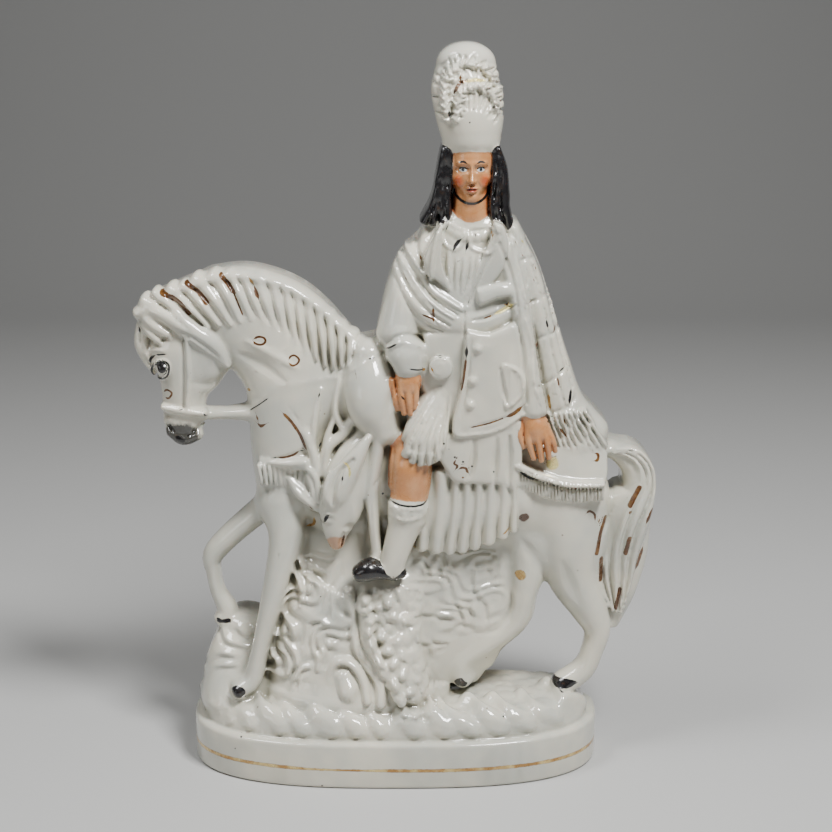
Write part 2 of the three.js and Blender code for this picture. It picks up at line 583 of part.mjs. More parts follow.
const glaze = new THREE.MeshStandardMaterial({ color: 0xe9e6da, roughness: 0.18, metalness: 0 });
const figure = new THREE.Mesh(geometry, glaze);
figure.name = 'flatback_figure';

const group = new THREE.Group();
group.add(figure);
export default group;
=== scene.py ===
"""A glazed and gilded earthenware flatback: a Highland rider on a standing horse, with a deer slung in front.

The whole group is one press-moulded casting, so it is one closed surface here as well. Every form is a limb
or a pad whose field is worked out on a grid, and the fields melt into each other. Relief that is too fine
for a form is a stroke on a map of the front view, which pushes the field out or in. The surface where the
field is nought is drawn out as a mesh. The painted places become values at its corners, which the material
reads.

Sizes are in millimetres until the mesh is made. The figures keep their pose as thousandths of the figure's
height: x, then z above the band of the base, then y.
"""

import logging
import math
from dataclasses import dataclass, field
from enum import Enum
from typing import Callable, Iterable, Sequence

import bpy
import numpy as np
from mathutils import Euler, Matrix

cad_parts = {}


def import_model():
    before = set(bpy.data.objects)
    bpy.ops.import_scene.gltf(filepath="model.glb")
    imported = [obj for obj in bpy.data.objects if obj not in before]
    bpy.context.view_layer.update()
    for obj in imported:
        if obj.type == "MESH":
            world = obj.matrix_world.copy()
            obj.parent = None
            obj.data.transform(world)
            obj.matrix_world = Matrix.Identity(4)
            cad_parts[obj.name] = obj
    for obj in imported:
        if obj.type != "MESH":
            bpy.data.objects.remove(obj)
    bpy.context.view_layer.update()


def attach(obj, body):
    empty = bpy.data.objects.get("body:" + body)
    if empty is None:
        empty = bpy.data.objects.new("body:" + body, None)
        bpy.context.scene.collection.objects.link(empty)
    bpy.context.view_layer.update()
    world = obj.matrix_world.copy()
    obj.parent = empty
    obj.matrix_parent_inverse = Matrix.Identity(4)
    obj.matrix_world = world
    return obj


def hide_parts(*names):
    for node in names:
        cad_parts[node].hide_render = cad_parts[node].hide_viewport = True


Array = np.ndarray
Curve = Sequence[Sequence[float]]
Curves = Sequence[Curve]
Stations = Sequence[Sequence[float]]
Paths = Sequence[Stations]
Lines = Sequence[Sequence[float | Sequence[float]]]
Pair = tuple[float, float]
Oval = tuple[float, float, float, float]
Colour = tuple[float, float, float]
Pattern = Callable[[Array, Array], Array]
Socket = bpy.types.NodeSocket
Source = Socket | float | Sequence[float] | None
Layers = tuple[Source, Source, Source, Source]

log = logging.getLogger("flatback")

NODE = "flatback_figure"
SLOT = "glazed_earthenware"
FIGURE_HEIGHT = 355.0
UNIT = FIGURE_HEIGHT / 1000.0
BAND_HEIGHT = 25.0
FIGURE_BACK = 20.0
MILLIMETRE = 0.001
FAR = 60.0


def plan(points: Curve) -> Array:
    """Points of the front view in millimetres.

    Args:
        points: x and z above the band, in thousandths of the figure's height.

    Returns:
        x and z in millimetres above the table, one row each.
    """
    out = np.asarray(points, float)[:, :2] * UNIT
    out[:, 1] += BAND_HEIGHT
    return out


def moved(lines: Curves, right: float, up: float) -> Curves:
    """Copies of lines, moved in the front view."""
    return [[(x + right, z + up) for x, z in line] for line in lines]


def oval(points: Array, shape: Oval, depth: float) -> Array:
    """How far corners lie outside an oval of the front view: (r - 1) times its smaller half axis.

    Args:
        points: corners in millimetres.
        shape: its middle in thousandths, half its width and half its height in millimetres.
        depth: y behind which nothing is inside, in millimetres.

    Returns:
        The distance in millimetres, less than nought inside.
    """
    (x, z), (wide, high) = plan([shape[:2]])[0], shape[2:]
    r = np.hypot((points[:, 0] - x) / wide, (points[:, 2] - z) / high)
    return np.where(points[:, 1] < depth, (r - 1) * min(wide, high), FAR)


def smooth_path(points: Array, steps: int = 6) -> Array:
    """A Catmull-Rom curve through points: half of (2b + (c-a)t + (2a-5b+4c-d)tt + (3b-a-3c+d)ttt).

    Args:
        points: one row for each point, any number of columns.
        steps: samples between one point and the next.

    Returns:
        The samples, the first and last points among them.
    """
    if len(points) < 2:
        return points
    full = np.vstack([2 * points[0] - points[1], points, 2 * points[-1] - points[-2]])
    t = np.linspace(0, 1, steps, endpoint=False)[:, None, None]
    a, b, c, d = full[:-3], full[1:-2], full[2:-1], full[3:]
    out = 0.5 * (2 * b + (c - a) * t + (2 * a - 5 * b + 4 * c - d) * t**2 + (3 * b - a - 3 * c + d) * t**3)
    return np.vstack([out.transpose(1, 0, 2).reshape(-1, points.shape[1]), points[-1:]])


def ring(x: float, z: float, radius: float) -> list[tuple[float, float]]:
    """Twelve points of a circle of the front view, in thousandths."""
    turns = np.linspace(0, 2 * np.pi, 12, endpoint=False)
    return [(x + radius * math.cos(t), z + radius * math.sin(t)) for t in turns]


def resample(points: Curve, count: int) -> Array:
    """A curve's points at equal shares of its length.

    Args:
        points: the curve, any number of columns, the first two of them its place.
        count: how many points are wanted.

    Returns:
        The points, one row each.
    """
    path = smooth_path(np.asarray(points, float), 8)
    gone = np.concatenate([[0], np.cumsum(np.hypot(*np.diff(path[:, :2], axis=0).T))])
    at = np.linspace(0, gone[-1], count)
    return np.column_stack([np.interp(at, gone, column) for column in path.T])


def smoothstep(low: float, high: float, value: Array) -> Array:
    """The curve 3tt - 2ttt of t, where t runs from 0 at low to 1 at high."""
    t = np.clip((value - low) / (high - low), 0, 1)
    return t * t * (3 - 2 * t)


def melt(a: Array, b: Array, width: float) -> Array:
    """The smaller of two fields, rounded where they cross: their blend less width times h(1-h)."""
    h = np.clip(0.5 + 0.5 * (b - a) / width, 0, 1)
    return b + (a - b) * h - width * h * (1 - h)


class Track:
    """A polyline of the front view that carries other values along it."""

    def __init__(self, samples: Array) -> None:
        """Keeps the samples: x, z and any further columns."""
        self.samples = samples
        self.start = samples[:-1]
        self.step = samples[1:] - samples[:-1]
        self.length = np.maximum(np.hypot(self.step[:, 0], self.step[:, 1]), 1e-6)

    def nearest(self, x: Array, z: Array) -> tuple[Array, ...]:
        """The nearest point of the line to each place.

        Args:
            x: places, in millimetres, any shape.
            z: places of the same shape.

        Returns:
            The distance aside, more than nought to the right of the way along, the distance beyond either
            end, the carried values, and the share of the way.
        """
        best = np.full(np.broadcast(x, z).shape, 1e12)
        aside = np.zeros_like(best)
        beyond = np.zeros_like(best)
        place = np.zeros_like(best)
        last = len(self.length) - 1
        for i, ((ax, az), (bx, bz), size) in enumerate(zip(self.start[:, :2], self.step[:, :2], self.length)):
            px, pz = x - ax, z - az
            along = (px * bx + pz * bz) / size**2
            held = np.clip(along, 0, 1)
            far = (px - held * bx) ** 2 + (pz - held * bz) ** 2
            nearer = far < best
            end = (along < 0) if i == 0 else np.zeros(best.shape, bool)
            if i == last:
                end = end | (along > 1)
            across = (px * bz - pz * bx) / size
            side = np.where(end, across, np.copysign(np.sqrt(far), across))
            over = np.where(end, np.abs(along - held) * size, 0)
            best = np.where(nearer, far, best)
            aside = np.where(nearer, side, aside)
            beyond = np.where(nearer, over, beyond)
            place = np.where(nearer, i + held, place)
        whole = np.minimum(place.astype(int), last)
        carried = self.start[whole, 2:] + (place - whole)[..., None] * self.step[whole, 2:]
        return aside, beyond, carried, place / (last + 1)


@dataclass
class Limb:
    """A form drawn out along a smooth path, with an oval section at each station.

    A station is x, z, y, half the width seen from the front and half the depth, in thousandths. A flat form
    runs straight back to the flat of the back, the others are round all over.
    """

    stations: Stations
    blend: float = 1.2
    flat: bool = False
    cap: float = 0.8
    steps: int = 6

    def __post_init__(self) -> None:
        """Works out the samples of the path, in millimetres."""
        samples = smooth_path(np.asarray(self.stations, float), self.steps) * UNIT
        samples[:, 1] += BAND_HEIGHT
        samples[:, 3:] = np.maximum(samples[:, 3:], 0.3)
        self.track = Track(samples)

    def box(self) -> Array:
        """Lowest and highest corner of the space the form can reach, with its melting margin."""
        s = self.track.samples
        margin = self.blend + 3
        wide = s[:, 3] + margin
        deep = s[:, 4] + margin
        low = [(s[:, 0] - wide).min(), (s[:, 2] - deep).min(), (s[:, 1] - wide).min()]
        high = [(s[:, 0] + wide).max(), (s[:, 2] + deep).max(), (s[:, 1] + wide).max()]
        if self.flat:
            high[1] = FIGURE_BACK + 11
        return np.array([low, high])

    def distance(self, x: Array, y: Array, z: Array) -> Array:
        """How far places lie outside the form: r(r-1)/g for the oval's own radius r and its slope g.

        Args:
            x: places, in millimetres.
            y: places, which may add a third direction to x and z.
            z: places.

        Returns:
            The distance, less than nought inside.
        """
        aside, beyond, carried, _ = self.track.nearest(x, z)
        centre, wide, deep = carried[..., 0], carried[..., 1], carried[..., 2]
        reach = self.cap * np.minimum(wide, deep)
        u2 = (aside / wide) ** 2 + (beyond / reach) ** 2
        ug = u2 / wide**2
        v = y - centre
        if self.flat:
            v = np.minimum(v, 0)
        r = np.sqrt(u2 + (v / deep) ** 2)
        g = np.sqrt(ug + (v / deep**2) ** 2)
        return r * (r - 1) / np.maximum(g, 1e-3)


def outline_distance(outline: Array, x: Array, z: Array) -> Array:
    """How far places lie outside a closed outline: the nearest edge's distance, below nought inside.

    Args:
        outline: corners x and z.
        x: places, any shape.
        z: places of the same shape.

    Returns:
        The distance, less than nought inside.
    """
    best = np.full(np.broadcast(x, z).shape, 1e12)
    inside = np.zeros(best.shape, bool)
    for (ax, az), (bx, bz) in zip(outline, np.roll(outline, -1, axis=0)):
        dx, dz = bx - ax, bz - az
        px, pz = x - ax, z - az
        held = np.clip((px * dx + pz * dz) / max(dx * dx + dz * dz, 1e-9), 0, 1)
        best = np.minimum(best, (px - held * dx) ** 2 + (pz - held * dz) ** 2)
        crosses = (az > z) != (bz > z)
        inside ^= crosses & (px < dx * pz / (dz if abs(dz) > 1e-9 else 1e-9))
    return np.where(inside, -1, 1) * np.sqrt(best)


@dataclass
class Pad:
    """A slab with a smooth outline seen from the front, and a softly rounded front edge.

    The front lies at one depth, leans by its slopes along x and z, or swells out by its crown.
    """

    outline: Curve
    front: float
    back: float
    rounding: float = 3.0
    crown: float = 0.0
    blend: float = 1.2
    lean: Pair = (0.0, 0.0)

    def __post_init__(self) -> None:
        """Works out the outline in millimetres."""
        closed = np.vstack([self.outline, self.outline[:1]])
        self.edge = smooth_path(plan(closed), 3)[:-1]
        self.middle = self.edge.mean(axis=0)

    def box(self) -> Array:
        """Lowest and highest corner of the space the pad can reach."""
        margin = self.blend + 3
        low, high = self.edge.min(axis=0) - margin, self.edge.max(axis=0) + margin
        spread = np.abs(self.edge - self.middle).max(axis=0) @ np.abs(self.lean)
        near = self.front - self.crown - spread - margin
        return np.array([[low[0], near, low[1]], [high[0], self.back + margin, high[1]]])

    def distance(self, x: Array, y: Array, z: Array) -> Array:
        """How far places lie outside the slab: the outline's and the front's distances, joined round."""
        side = outline_distance(self.edge, x, z)
        front = self.front + self.lean[0] * (x - self.middle[0]) + self.lean[1] * (z - self.middle[1])
        front = front - self.crown * np.sqrt(np.clip(-side / (4 * self.rounding), 0, 1))
        r = self.rounding
        a, b = side + r, np.maximum(front - y, y - self.back) + r
        return np.hypot(np.maximum(a, 0), np.maximum(b, 0)) + np.minimum(np.maximum(a, b), 0) - r


Form = Limb | Pad


def limbs(blend: float, *paths: Stations, flat: bool = False) -> list[Limb]:
    """A limb along each path, all of them with one melting width."""
    return [Limb(path, blend=blend, flat=flat) for path in paths]


def between(
    upper: Curve, lower: Curve, y: float | Sequence[float], depth: float | Sequence[float],
) -> list[list[float]]:
    """Stations of a broad form half-way between two edges.

    Args:
        upper: points of one edge, in thousandths.
        lower: as many points of the other edge.
        y: middle of its depth, the same all along or for each station.
        depth: half its depth, likewise.

    Returns:
        A station for each pair of points.
    """
    middles, depths = (np.broadcast_to(values, len(upper)) for values in (y, depth))
    return [
        [(x + u) / 2, (z + v) / 2, m, math.hypot(x - u, z - v) / 2, d]
        for (x, z), (u, v), m, d in zip(upper, lower, middles, depths)
    ]


def ridges(
    partings: Curves, head: Pair, middle: Pair, foot: Pair, fullness: float = 0.56, tip: float = 1.0,
    blend: float = 0.5, flat: bool = False, count: int = 5,
) -> list[Limb]:
    """Rounded ridges that fill the space between partings, such as locks, pleats and strands.

    Args:
        partings: the lines between the ridges, the outer edges among them, in thousandths.
        head: y and half depth where the ridges start.
        middle: the same half-way.
        foot: the same where they end.
        fullness: half width over the distance from parting to parting.
        tip: the foot's width over what fills the space there.
        blend: width of the melting, in millimetres.
        flat: whether the ridges run back to the flat of the back.
        count: of the stations along each ridge.

    Returns:
        One limb for each pair of neighbouring partings.
    """
    share = np.linspace(0, 1, count)
    depths = np.array([np.interp(share, [0, 0.5, 1], [head[i], middle[i], foot[i]]) for i in (0, 1)])
    out = []
    for a, b in zip(partings[:-1], partings[1:]):
        a, b = resample(a, count), resample(b, count)
        wide = np.hypot(*(a - b).T[:2]) * fullness * np.interp(share, [0, 0.6, 1], [1, 1, tip])
        middle_line = (a + b)[:, :2] / 2
        along = np.gradient(middle_line, axis=0)
        across = (b - a)[:, :2]
        lean = np.abs(along[:, 0] * across[:, 1] - along[:, 1] * across[:, 0])
        lean = lean / np.maximum(np.hypot(*along.T) * np.hypot(*across.T), 1e-6)
        stations = np.column_stack([middle_line, depths[0], wide * lean, depths[1]])
        out.append(Limb(stations, blend=blend, flat=flat, cap=0.6, steps=3))
    return out


def locks(
    upper: Curve, lower: Curve, count: int, y: float, depth: float, fullness: float = 0.56, tip: float = 0.9,
    blend: float = 0.4, flat: bool = False,
) -> list[Limb]:
    """Even ridges from one edge to another, such as the tassels of a fringe.

    Args:
        upper: points of the edge where they start, in thousandths.
        lower: points of the edge where they end.
        count: how many ridges.
        y: middle of the ridges' depth.
        depth: half their depth.
        fullness: half width over the pitch.
        tip: the foot's width over the pitch there.
        blend: width of the melting, in millimetres.
        flat: whether the ridges run back to the flat of the back.

    Returns:
        One limb for each ridge.
    """
    top, foot = resample(upper, count + 1), resample(lower, count + 1)
    partings = list(np.stack([top, foot], axis=1))
    return ridges(partings, (y, depth), (y, depth), (y, depth * 0.9), fullness, tip, blend, flat)


def pebbles(pitch: float, seed: int, fullness: float = 0.75) -> Pattern:
    """A pattern of round bumps, one in each cell of a shaken grid.

    Args:
        pitch: side of a cell, in millimetres.
        seed: of the shaking.
        fullness: radius of a bump over the pitch.

    Returns:
        A function of x and z from 0 to 1: 1 - dd for the distance d to the nearest bump over its radius.
    """
    size = 64
    table = np.random.default_rng(seed).random((size, size, 3))

    def pattern(x: Array, z: Array) -> Array:
        """The bumps' height at places."""
        u, v = x / pitch, z / pitch
        i, j = np.floor(u).astype(int), np.floor(v).astype(int)
        out = np.zeros(u.shape)
        for di in (-1, 0, 1):
            for dj in (-1, 0, 1):
                shake = table[(i + di) % size, (j + dj) % size]
                d2 = (u - i - di - shake[..., 0]) ** 2 + (v - j - dj - shake[..., 1]) ** 2
                radius = fullness * (0.6 + 0.6 * shake[..., 2])
                out = np.maximum(out, 1 - d2 / radius**2)
        return out

    return pattern


def waves(length: float, angle: float, seed: int, wander: float = 1.5) -> Pattern:
    """A pattern of wandering ripples, such as combed clay.

    Args:
        length: from ripple to ripple, in millimetres.
        angle: of the ripples' run from upright, in degrees.
        seed: of their wandering.
        wander: how far they stray, in radians.

    Returns:
        A function of x and z from -1 to 1: a sine across the run, moved by four slower sines.
    """
    random = np.random.default_rng(seed)
    turn = math.radians(angle)
    slow = random.uniform(-1, 1, (4, 2)) / (length * 2.2)
    phase = random.uniform(0, 2 * np.pi, 4)

    def pattern(x: Array, z: Array) -> Array:
        """The ripples' height at places."""
        across = x * math.cos(turn) + z * math.sin(turn)
        stray = sum(np.sin(2 * np.pi * (x * a + z * b) + p) for (a, b), p in zip(slow, phase))
        return np.sin(2 * np.pi * across / length + wander * stray)

    return pattern


@dataclass
class Relief:
    """Fine relief of the front: ridges and grooves measured on a map of the front view, in millimetres."""

    low: Pair = (-142.0, -2.0)
    high: Pair = (146.0, 386.0)
    step: float = 0.4
    front: float = 9.0
    fade: float = 8.0

    def __post_init__(self) -> None:
        """Makes the two empty maps."""
        self.x = np.arange(self.low[0], self.high[0], self.step)
        self.z = np.arange(self.low[1], self.high[1], self.step)
        self.raised = np.zeros((len(self.x), len(self.z)))
        self.sunk = np.zeros_like(self.raised)

    def window(self, low: Array, high: Array) -> tuple[tuple[slice, slice], Array, Array]:
        """The part of the map between two corners, and its places x and z."""
        part = tuple(slice(*np.searchsorted(axis, [a, b])) for axis, a, b in zip((self.x, self.z), low, high))
        return part, *np.meshgrid(self.x[part[0]], self.z[part[1]], indexing="ij")

    def stroke(self, points: Curve, width: float, height: float, taper: float = 0.0) -> None:
        """Raises or sinks a line: the height times (1 - dd)^2 for the distance d over the half width.

        Args:
            points: x and z in thousandths.
            width: half width of the line, in millimetres.
            height: above the surface, or below it where it is less than nought.
            taper: how far the line thins towards its ends, from 0 to 1.
        """
        line = smooth_path(plan(points), 4)
        if len(line) == 1:
            line = np.vstack([line, line + 0.01])
        part, x, z = self.window(line.min(axis=0) - width, line.max(axis=0) + width)
        aside, beyond, _, share = Track(line).nearest(x, z)
        thin = 1 - taper * (2 * share - 1) ** 2
        d = np.hypot(aside, beyond) / (width * np.maximum(thin, 0.15))
        shape = height * thin * np.clip(1 - d * d, 0, 1) ** 2
        chart = self.raised if height > 0 else self.sunk
        better = np.maximum if height > 0 else np.minimum
        chart[part] = better(chart[part], shape)

    def strokes(self, lines: Iterable[Curve], width: float, height: float, taper: float = 0.0) -> None:
        """The same stroke along several lines."""
        for line in lines:
            self.stroke(line, width, height, taper)

    def draw(self, lines: Lines) -> None:
        """Strokes from a table, each row a half width, a height, a taper and the points."""
        for width, height, taper, *points in lines:
            self.stroke(points, width, height, taper)

    def barbs(self, spine: Curve, wide: float, count: int, lean: float, width: float, height: float) -> None:
        """Short strokes across a spine, such as a plume's barbs, each a little unlike the next.

        Args:
            spine: its points, in thousandths.
            wide: reach of the barbs to each side, in thousandths.
            count: of the barbs.
            lean: how far their ends run on along the spine, over their reach.
            width: half width of a barb, in millimetres.
            height: of a barb, in millimetres.
        """
        line = resample(spine, count)
        along = np.gradient(line, axis=0)
        along /= np.hypot(*along.T)[:, None]
        across = np.column_stack([along[:, 1], -along[:, 0]])
        random = np.random.default_rng(count)
        for place, way, side in zip(line, along, across):
            for turn in (-1, 1):
                reach, run, push = random.uniform((0.7, -0.5, 0.7), (1.25, 0.5, 1.3)) * (wide, 1, height)
                end = place + reach * (turn * side + (lean + run) * way)
                bend = (place + end) / 2 + 0.2 * reach * way
                self.stroke((place, bend, end), width, push, 0.5)

    def patch(self, outline: Curve, edge: float, pattern: Pattern | None, height: float) -> None:
        """Adds a pattern or an even height inside an outline, fading out at its edge.

        Args:
            outline: corners in thousandths.
            edge: how far inside the outline the pattern is full, in millimetres.
            pattern: a function of x and z in millimetres, from -1 to 1, or None for an even height.
            height: of the pattern, in millimetres.
        """
        edge_line = smooth_path(plan(np.vstack([outline, outline[:1]])), 3)[:-1]
        part, x, z = self.window(edge_line.min(axis=0), edge_line.max(axis=0))
        inside = smoothstep(0, edge, -outline_distance(edge_line, x, z))
        value = height * inside * (pattern(x, z) if pattern else 1.0)
        self.raised[part] += np.maximum(value, 0)
        self.sunk[part] += np.minimum(value, 0)

    def spare(self, line: Curve, width: float) -> None:
        """Takes the relief away within a width of a line, in millimetres, fading it in over two more."""
        path = smooth_path(plan(line), 4)
        part, x, z = self.window(path.min(axis=0) - width - 2, path.max(axis=0) + width + 2)
        aside, beyond, _, _ = Track(path).nearest(x, z)
        share = smoothstep(width, width + 2, np.hypot(aside, beyond))
        self.raised[part] *= share
        self.sunk[part] *= share

    def clear_below(self, height: float, fade: float) -> None:
        """Takes the relief away below a height, fading it in above."""
        share = smoothstep(height, height + fade, self.z)
        self.raised *= share
        self.sunk *= share

    def height(self, x: Array, z: Array) -> Array:
        """The relief at places of the front, between the four nearest samples of the map."""
        total = self.raised + self.sunk
        u = np.clip((x - self.x[0]) / self.step, 0, len(self.x) - 1.001)
        v = np.clip((z - self.z[0]) / self.step, 0, len(self.z) - 1.001)
        i, j = u.astype(int), v.astype(int)
        s, t = u - i, v - j
        return (
            total[i, j] * (1 - s) * (1 - t) + total[i + 1, j] * s * (1 - t)
            + total[i, j + 1] * (1 - s) * t + total[i + 1, j + 1] * s * t
        )

    def push(self, x: Array, y: Array, z: Array) -> Array:
        """How far the relief moves the surface out at places: its height, fading out towards the back."""
        return self.height(x, z) * (1 - smoothstep(self.front, self.front + self.fade, y))


def melted(forms: Iterable[Form], points: Array) -> Array:
    """The melted field of several forms at single places.

    Args:
        forms: in the order in which they melt.
        points: places in millimetres, one row each.

    Returns:
        The field, FAR where no form is near.
    """
    out = np.full(len(points), FAR)
    for form in forms:
        box = form.box()
        near = np.all((points >= box[0]) & (points <= box[1]), axis=1)
        if near.any():
            x, y, z = points[near].T
            out[near] = melt(out[near], form.distance(x, y, z), form.blend)
    return out


@dataclass
class Clay:
    """The grid on which the forms melt into one casting, and the surface drawn out of it."""

    low: tuple[float, float, float] = (-140.0, -59.0, -3.0)
    high: tuple[float, float, float] = (143.0, 31.0, 385.0)
    step: float = 1.0

    def __post_init__(self) -> None:
        """Fills the grid with empty space."""
        self.axes = [np.arange(a, b, self.step) for a, b in zip(self.low, self.high)]
        self.values = np.full([len(a) for a in self.axes], FAR, np.float32)

    def window(self, box: Array) -> tuple[slice, ...]:
        """The part of the grid inside a box."""
        return tuple(slice(*np.searchsorted(a, [lo, hi])) for a, lo, hi in zip(self.axes, box[0], box[1]))

    def place(self, part: tuple[slice, ...]) -> tuple[Array, ...]:
        """The coordinates of a part of the grid, each along its own direction."""
        x, y, z = (a[p] for a, p in zip(self.axes, part))
        return x[:, None, None], y[None, :, None], z[None, None, :]

    def field(self, form: Form, part: tuple[slice, ...]) -> Array:
        """A form's distance on a part of the grid."""
        x, y, z = self.place(part)
        x, z = np.broadcast_arrays(x, z)
        return form.distance(x, y, z).astype(np.float32)

    def add(self, forms: Iterable[Form]) -> None:
        """Melts forms into the casting, each by its own width."""
        for form in forms:
            part = self.window(form.box())
            if min(p.stop - p.start for p in part) <= 0:
                continue
            self.values[part] = melt(self.values[part], self.field(form, part), form.blend)

    def engrave(self, relief: Relief) -> None:
        """Moves the field by the relief's height, on the front only."""
        x, y, z = self.place((slice(None),) * 3)
        height = relief.height(*np.broadcast_arrays(x[:, 0], z[0])).astype(np.float32)
        fade = 1 - smoothstep(relief.front, relief.front + relief.fade, y)
        self.values -= height[:, None, :] * fade.astype(np.float32)

    def flatten_back(self, rounding: float) -> None:
        """Cuts the back flat, its edges softly rounded."""
        y = self.axes[1][None, :, None]
        behind = (FIGURE_BACK - y).astype(np.float32)
        self.values = -melt(-self.values, np.broadcast_to(behind, self.values.shape), rounding)

    def join(self, value: Array, part: tuple[slice, ...], blend: float) -> None:
        """Melts a field already worked out on a part of the grid into the casting."""
        self.values[part] = melt(self.values[part], value.astype(np.float32), blend)

    def crowding(self, points: Array, coarse: int = 2, passes: int = 3) -> Array:
        """How much of the space round places is filled: half on a flat, more in a crease, less on an edge.

        Args:
            points: places in millimetres, one row each.
            coarse: every how many samples of the grid are used.
            passes: of a box blur of five samples along each direction.

        Returns:
            The filled share of the space at each place.
        """
        solid = (self.values[::coarse, ::coarse, ::coarse] < 0).astype(np.float32)
        for _ in range(passes):
            for axis in range(3):
                total = np.cumsum(np.concatenate([np.zeros_like(solid.take([0], axis)), solid], axis), axis)
                n = solid.shape[axis]
                at = np.arange(n)
                high, low = np.minimum(at + 3, n), np.maximum(at - 2, 0)
                span = (high - low).reshape([-1 if k == axis else 1 for k in range(3)])
                solid = (total.take(high, axis) - total.take(low, axis)) / span
        place = (points - np.array(self.low)) / (self.step * coarse)
        place = np.clip(place, 0, np.array(solid.shape) - 1.001)
        i = place.astype(int)
        t = place - i
        out = np.zeros(len(points))
        for a in (0, 1):
            for b in (0, 1):
                for c in (0, 1):
                    w = (t[:, 0] if a else 1 - t[:, 0]) * (t[:, 1] if b else 1 - t[:, 1])
                    w = w * (t[:, 2] if c else 1 - t[:, 2])
                    out += w * solid[i[:, 0] + a, i[:, 1] + b, i[:, 2] + c]
        return out

    def fill_pinches(self, rounds: int = 4) -> None:
        """Fills grid faces with clay at two opposite corners alone, so that no edge has four faces."""
        inside = self.values < 0
        for _ in range(rounds):
            for u, w in ((0, 1), (0, 2), (1, 2)):
                parts = []
                for du, dw in ((0, 0), (1, 1), (0, 1), (1, 0)):
                    cut = [slice(None)] * 3
                    cut[u], cut[w] = (slice(k, inside.shape[n] - 1 + k) for k, n in ((du, u), (dw, w)))
                    parts.append(tuple(cut))
                p, q, r, s = (inside[part] for part in parts)
                pinched = (p == q) & (r == s) & (p != r)
                for part in parts:
                    inside[part] |= pinched
        self.values[inside & (self.values >= 0)] = -0.05

    def surface(self) -> tuple[Array, Array]:
        """Draws out the surface: a corner in each cell that it crosses, at the mean of its edges' crossings.

        Returns:
            The corners in millimetres, and the four corners of each face, turned outwards.
        """
        v = self.values
        inside = v < 0
        nx, ny, nz = (n - 1 for n in v.shape)
        count = np.zeros((nx, ny, nz), np.int8)
        corners = [(i, j, k) for i in (0, 1) for j in (0, 1) for k in (0, 1)]
        for i, j, k in corners:
            count += inside[i : nx + i, j : ny + j, k : nz + k]
        cells = np.argwhere((count > 0) & (count < 8))
        number = np.full((nx, ny, nz), -1, np.int32)
        number[tuple(cells.T)] = np.arange(len(cells))
        corner_values = {c: v[tuple((cells + c).T)] for c in corners}
        total = np.zeros((len(cells), 3))
        hits = np.zeros(len(cells))
        for a in corners:
            for axis in range(3):
                if a[axis]:
                    continue
                b = tuple(1 if n == axis else a[n] for n in range(3))
                va, vb = corner_values[a], corner_values[b]
                crossed = (va < 0) != (vb < 0)
                t = np.where(crossed, va / np.where(crossed, va - vb, 1), 0)
                point = np.tile(np.array(a, float), (len(cells), 1))
                point[:, axis] += t
                total += point * crossed[:, None]
                hits += crossed
        points = (cells + total / hits[:, None]) * self.step + np.array(self.low)
        faces = []
        for axis in range(3):
            first = [slice(1, nx), slice(1, ny), slice(1, nz)]
            lower, upper = list(first), list(first)
            lower[axis] = slice(0, v.shape[axis] - 1)
            upper[axis] = slice(1, v.shape[axis])
            a, b = inside[tuple(lower)], inside[tuple(upper)]
            at = np.argwhere(a != b)
            shift = np.ones(3, int)
            shift[axis] = 0
            at = at + shift
            u, w = [n for n in range(3) if n != axis]
            ring = []
            for du, dw in ((0, 0), (1, 0), (1, 1), (0, 1)):
                cell = at.copy()
                cell[:, u] -= du
                cell[:, w] -= dw
                ring.append(number[tuple(cell.T)])
            quad = np.stack(ring, 1)
            outward = a[tuple((at - shift).T)]
            if axis == 1:
                outward = ~outward
            quad[~outward] = quad[~outward][:, ::-1]
            faces.append(quad)
        return points, np.vstack(faces)


def settle(points: Array, faces: Array, share: float) -> Array:
    """Moves each corner towards the mean of its neighbours by a share of the way."""
    total = np.zeros_like(points)
    count = np.zeros(len(points))
    for i in range(4):
        a, b = faces[:, i], faces[:, (i + 1) % 4]
        for here, there in ((a, b), (b, a)):
            count += np.bincount(here, minlength=len(points))
            for k in range(3):
                total[:, k] += np.bincount(here, points[there, k], len(points))
    return points + share * (total / count[:, None] - points)


def largest_shell(points: Array, faces: Array) -> tuple[Array, Array]:
    """Keeps the largest connected surface: labels spread along the faces until none changes.

    Args:
        points: the corners.
        faces: four corners each.

    Returns:
        The corners and faces of the largest surface, numbered anew.
    """
    label = np.arange(len(points))
    while True:
        low = label[faces].min(axis=1)
        new = label.copy()
        for i in range(4):
            np.minimum.at(new, faces[:, i], low)
        new = new[new]
        if np.array_equal(new, label):
            break
        label = new
    kinds, counts = np.unique(label, return_counts=True)
    kept = label == kinds[counts.argmax()]
    number = np.cumsum(kept) - 1
    return points[kept], number[faces[kept[faces[:, 0]]]]


class Tone(Enum):
    """The colours of the painted marks, as places on the marks' colour scale."""

    BLACK = 0.0
    BROWN = 0.34
    GOLD = 0.67
    PALE = 1.0


@dataclass(frozen=True)
class Mark:
    """A painted stroke of the front view, or a dot where it has one point."""

    tone: Tone
    width: float
    points: Curve

    def line(self) -> Array:
        """The stroke's samples in millimetres."""
        line = smooth_path(plan(self.points), 3)
        return line if len(line) > 1 else np.vstack([line - [0.02, 0], line + [0.02, 0]])


def painted(tone: Tone, *rows: Sequence[float | Sequence[float]]) -> list[Mark]:
    """Marks of one tone from a table, each row a half width and the points."""
    return [Mark(tone, width, points) for width, *points in rows]


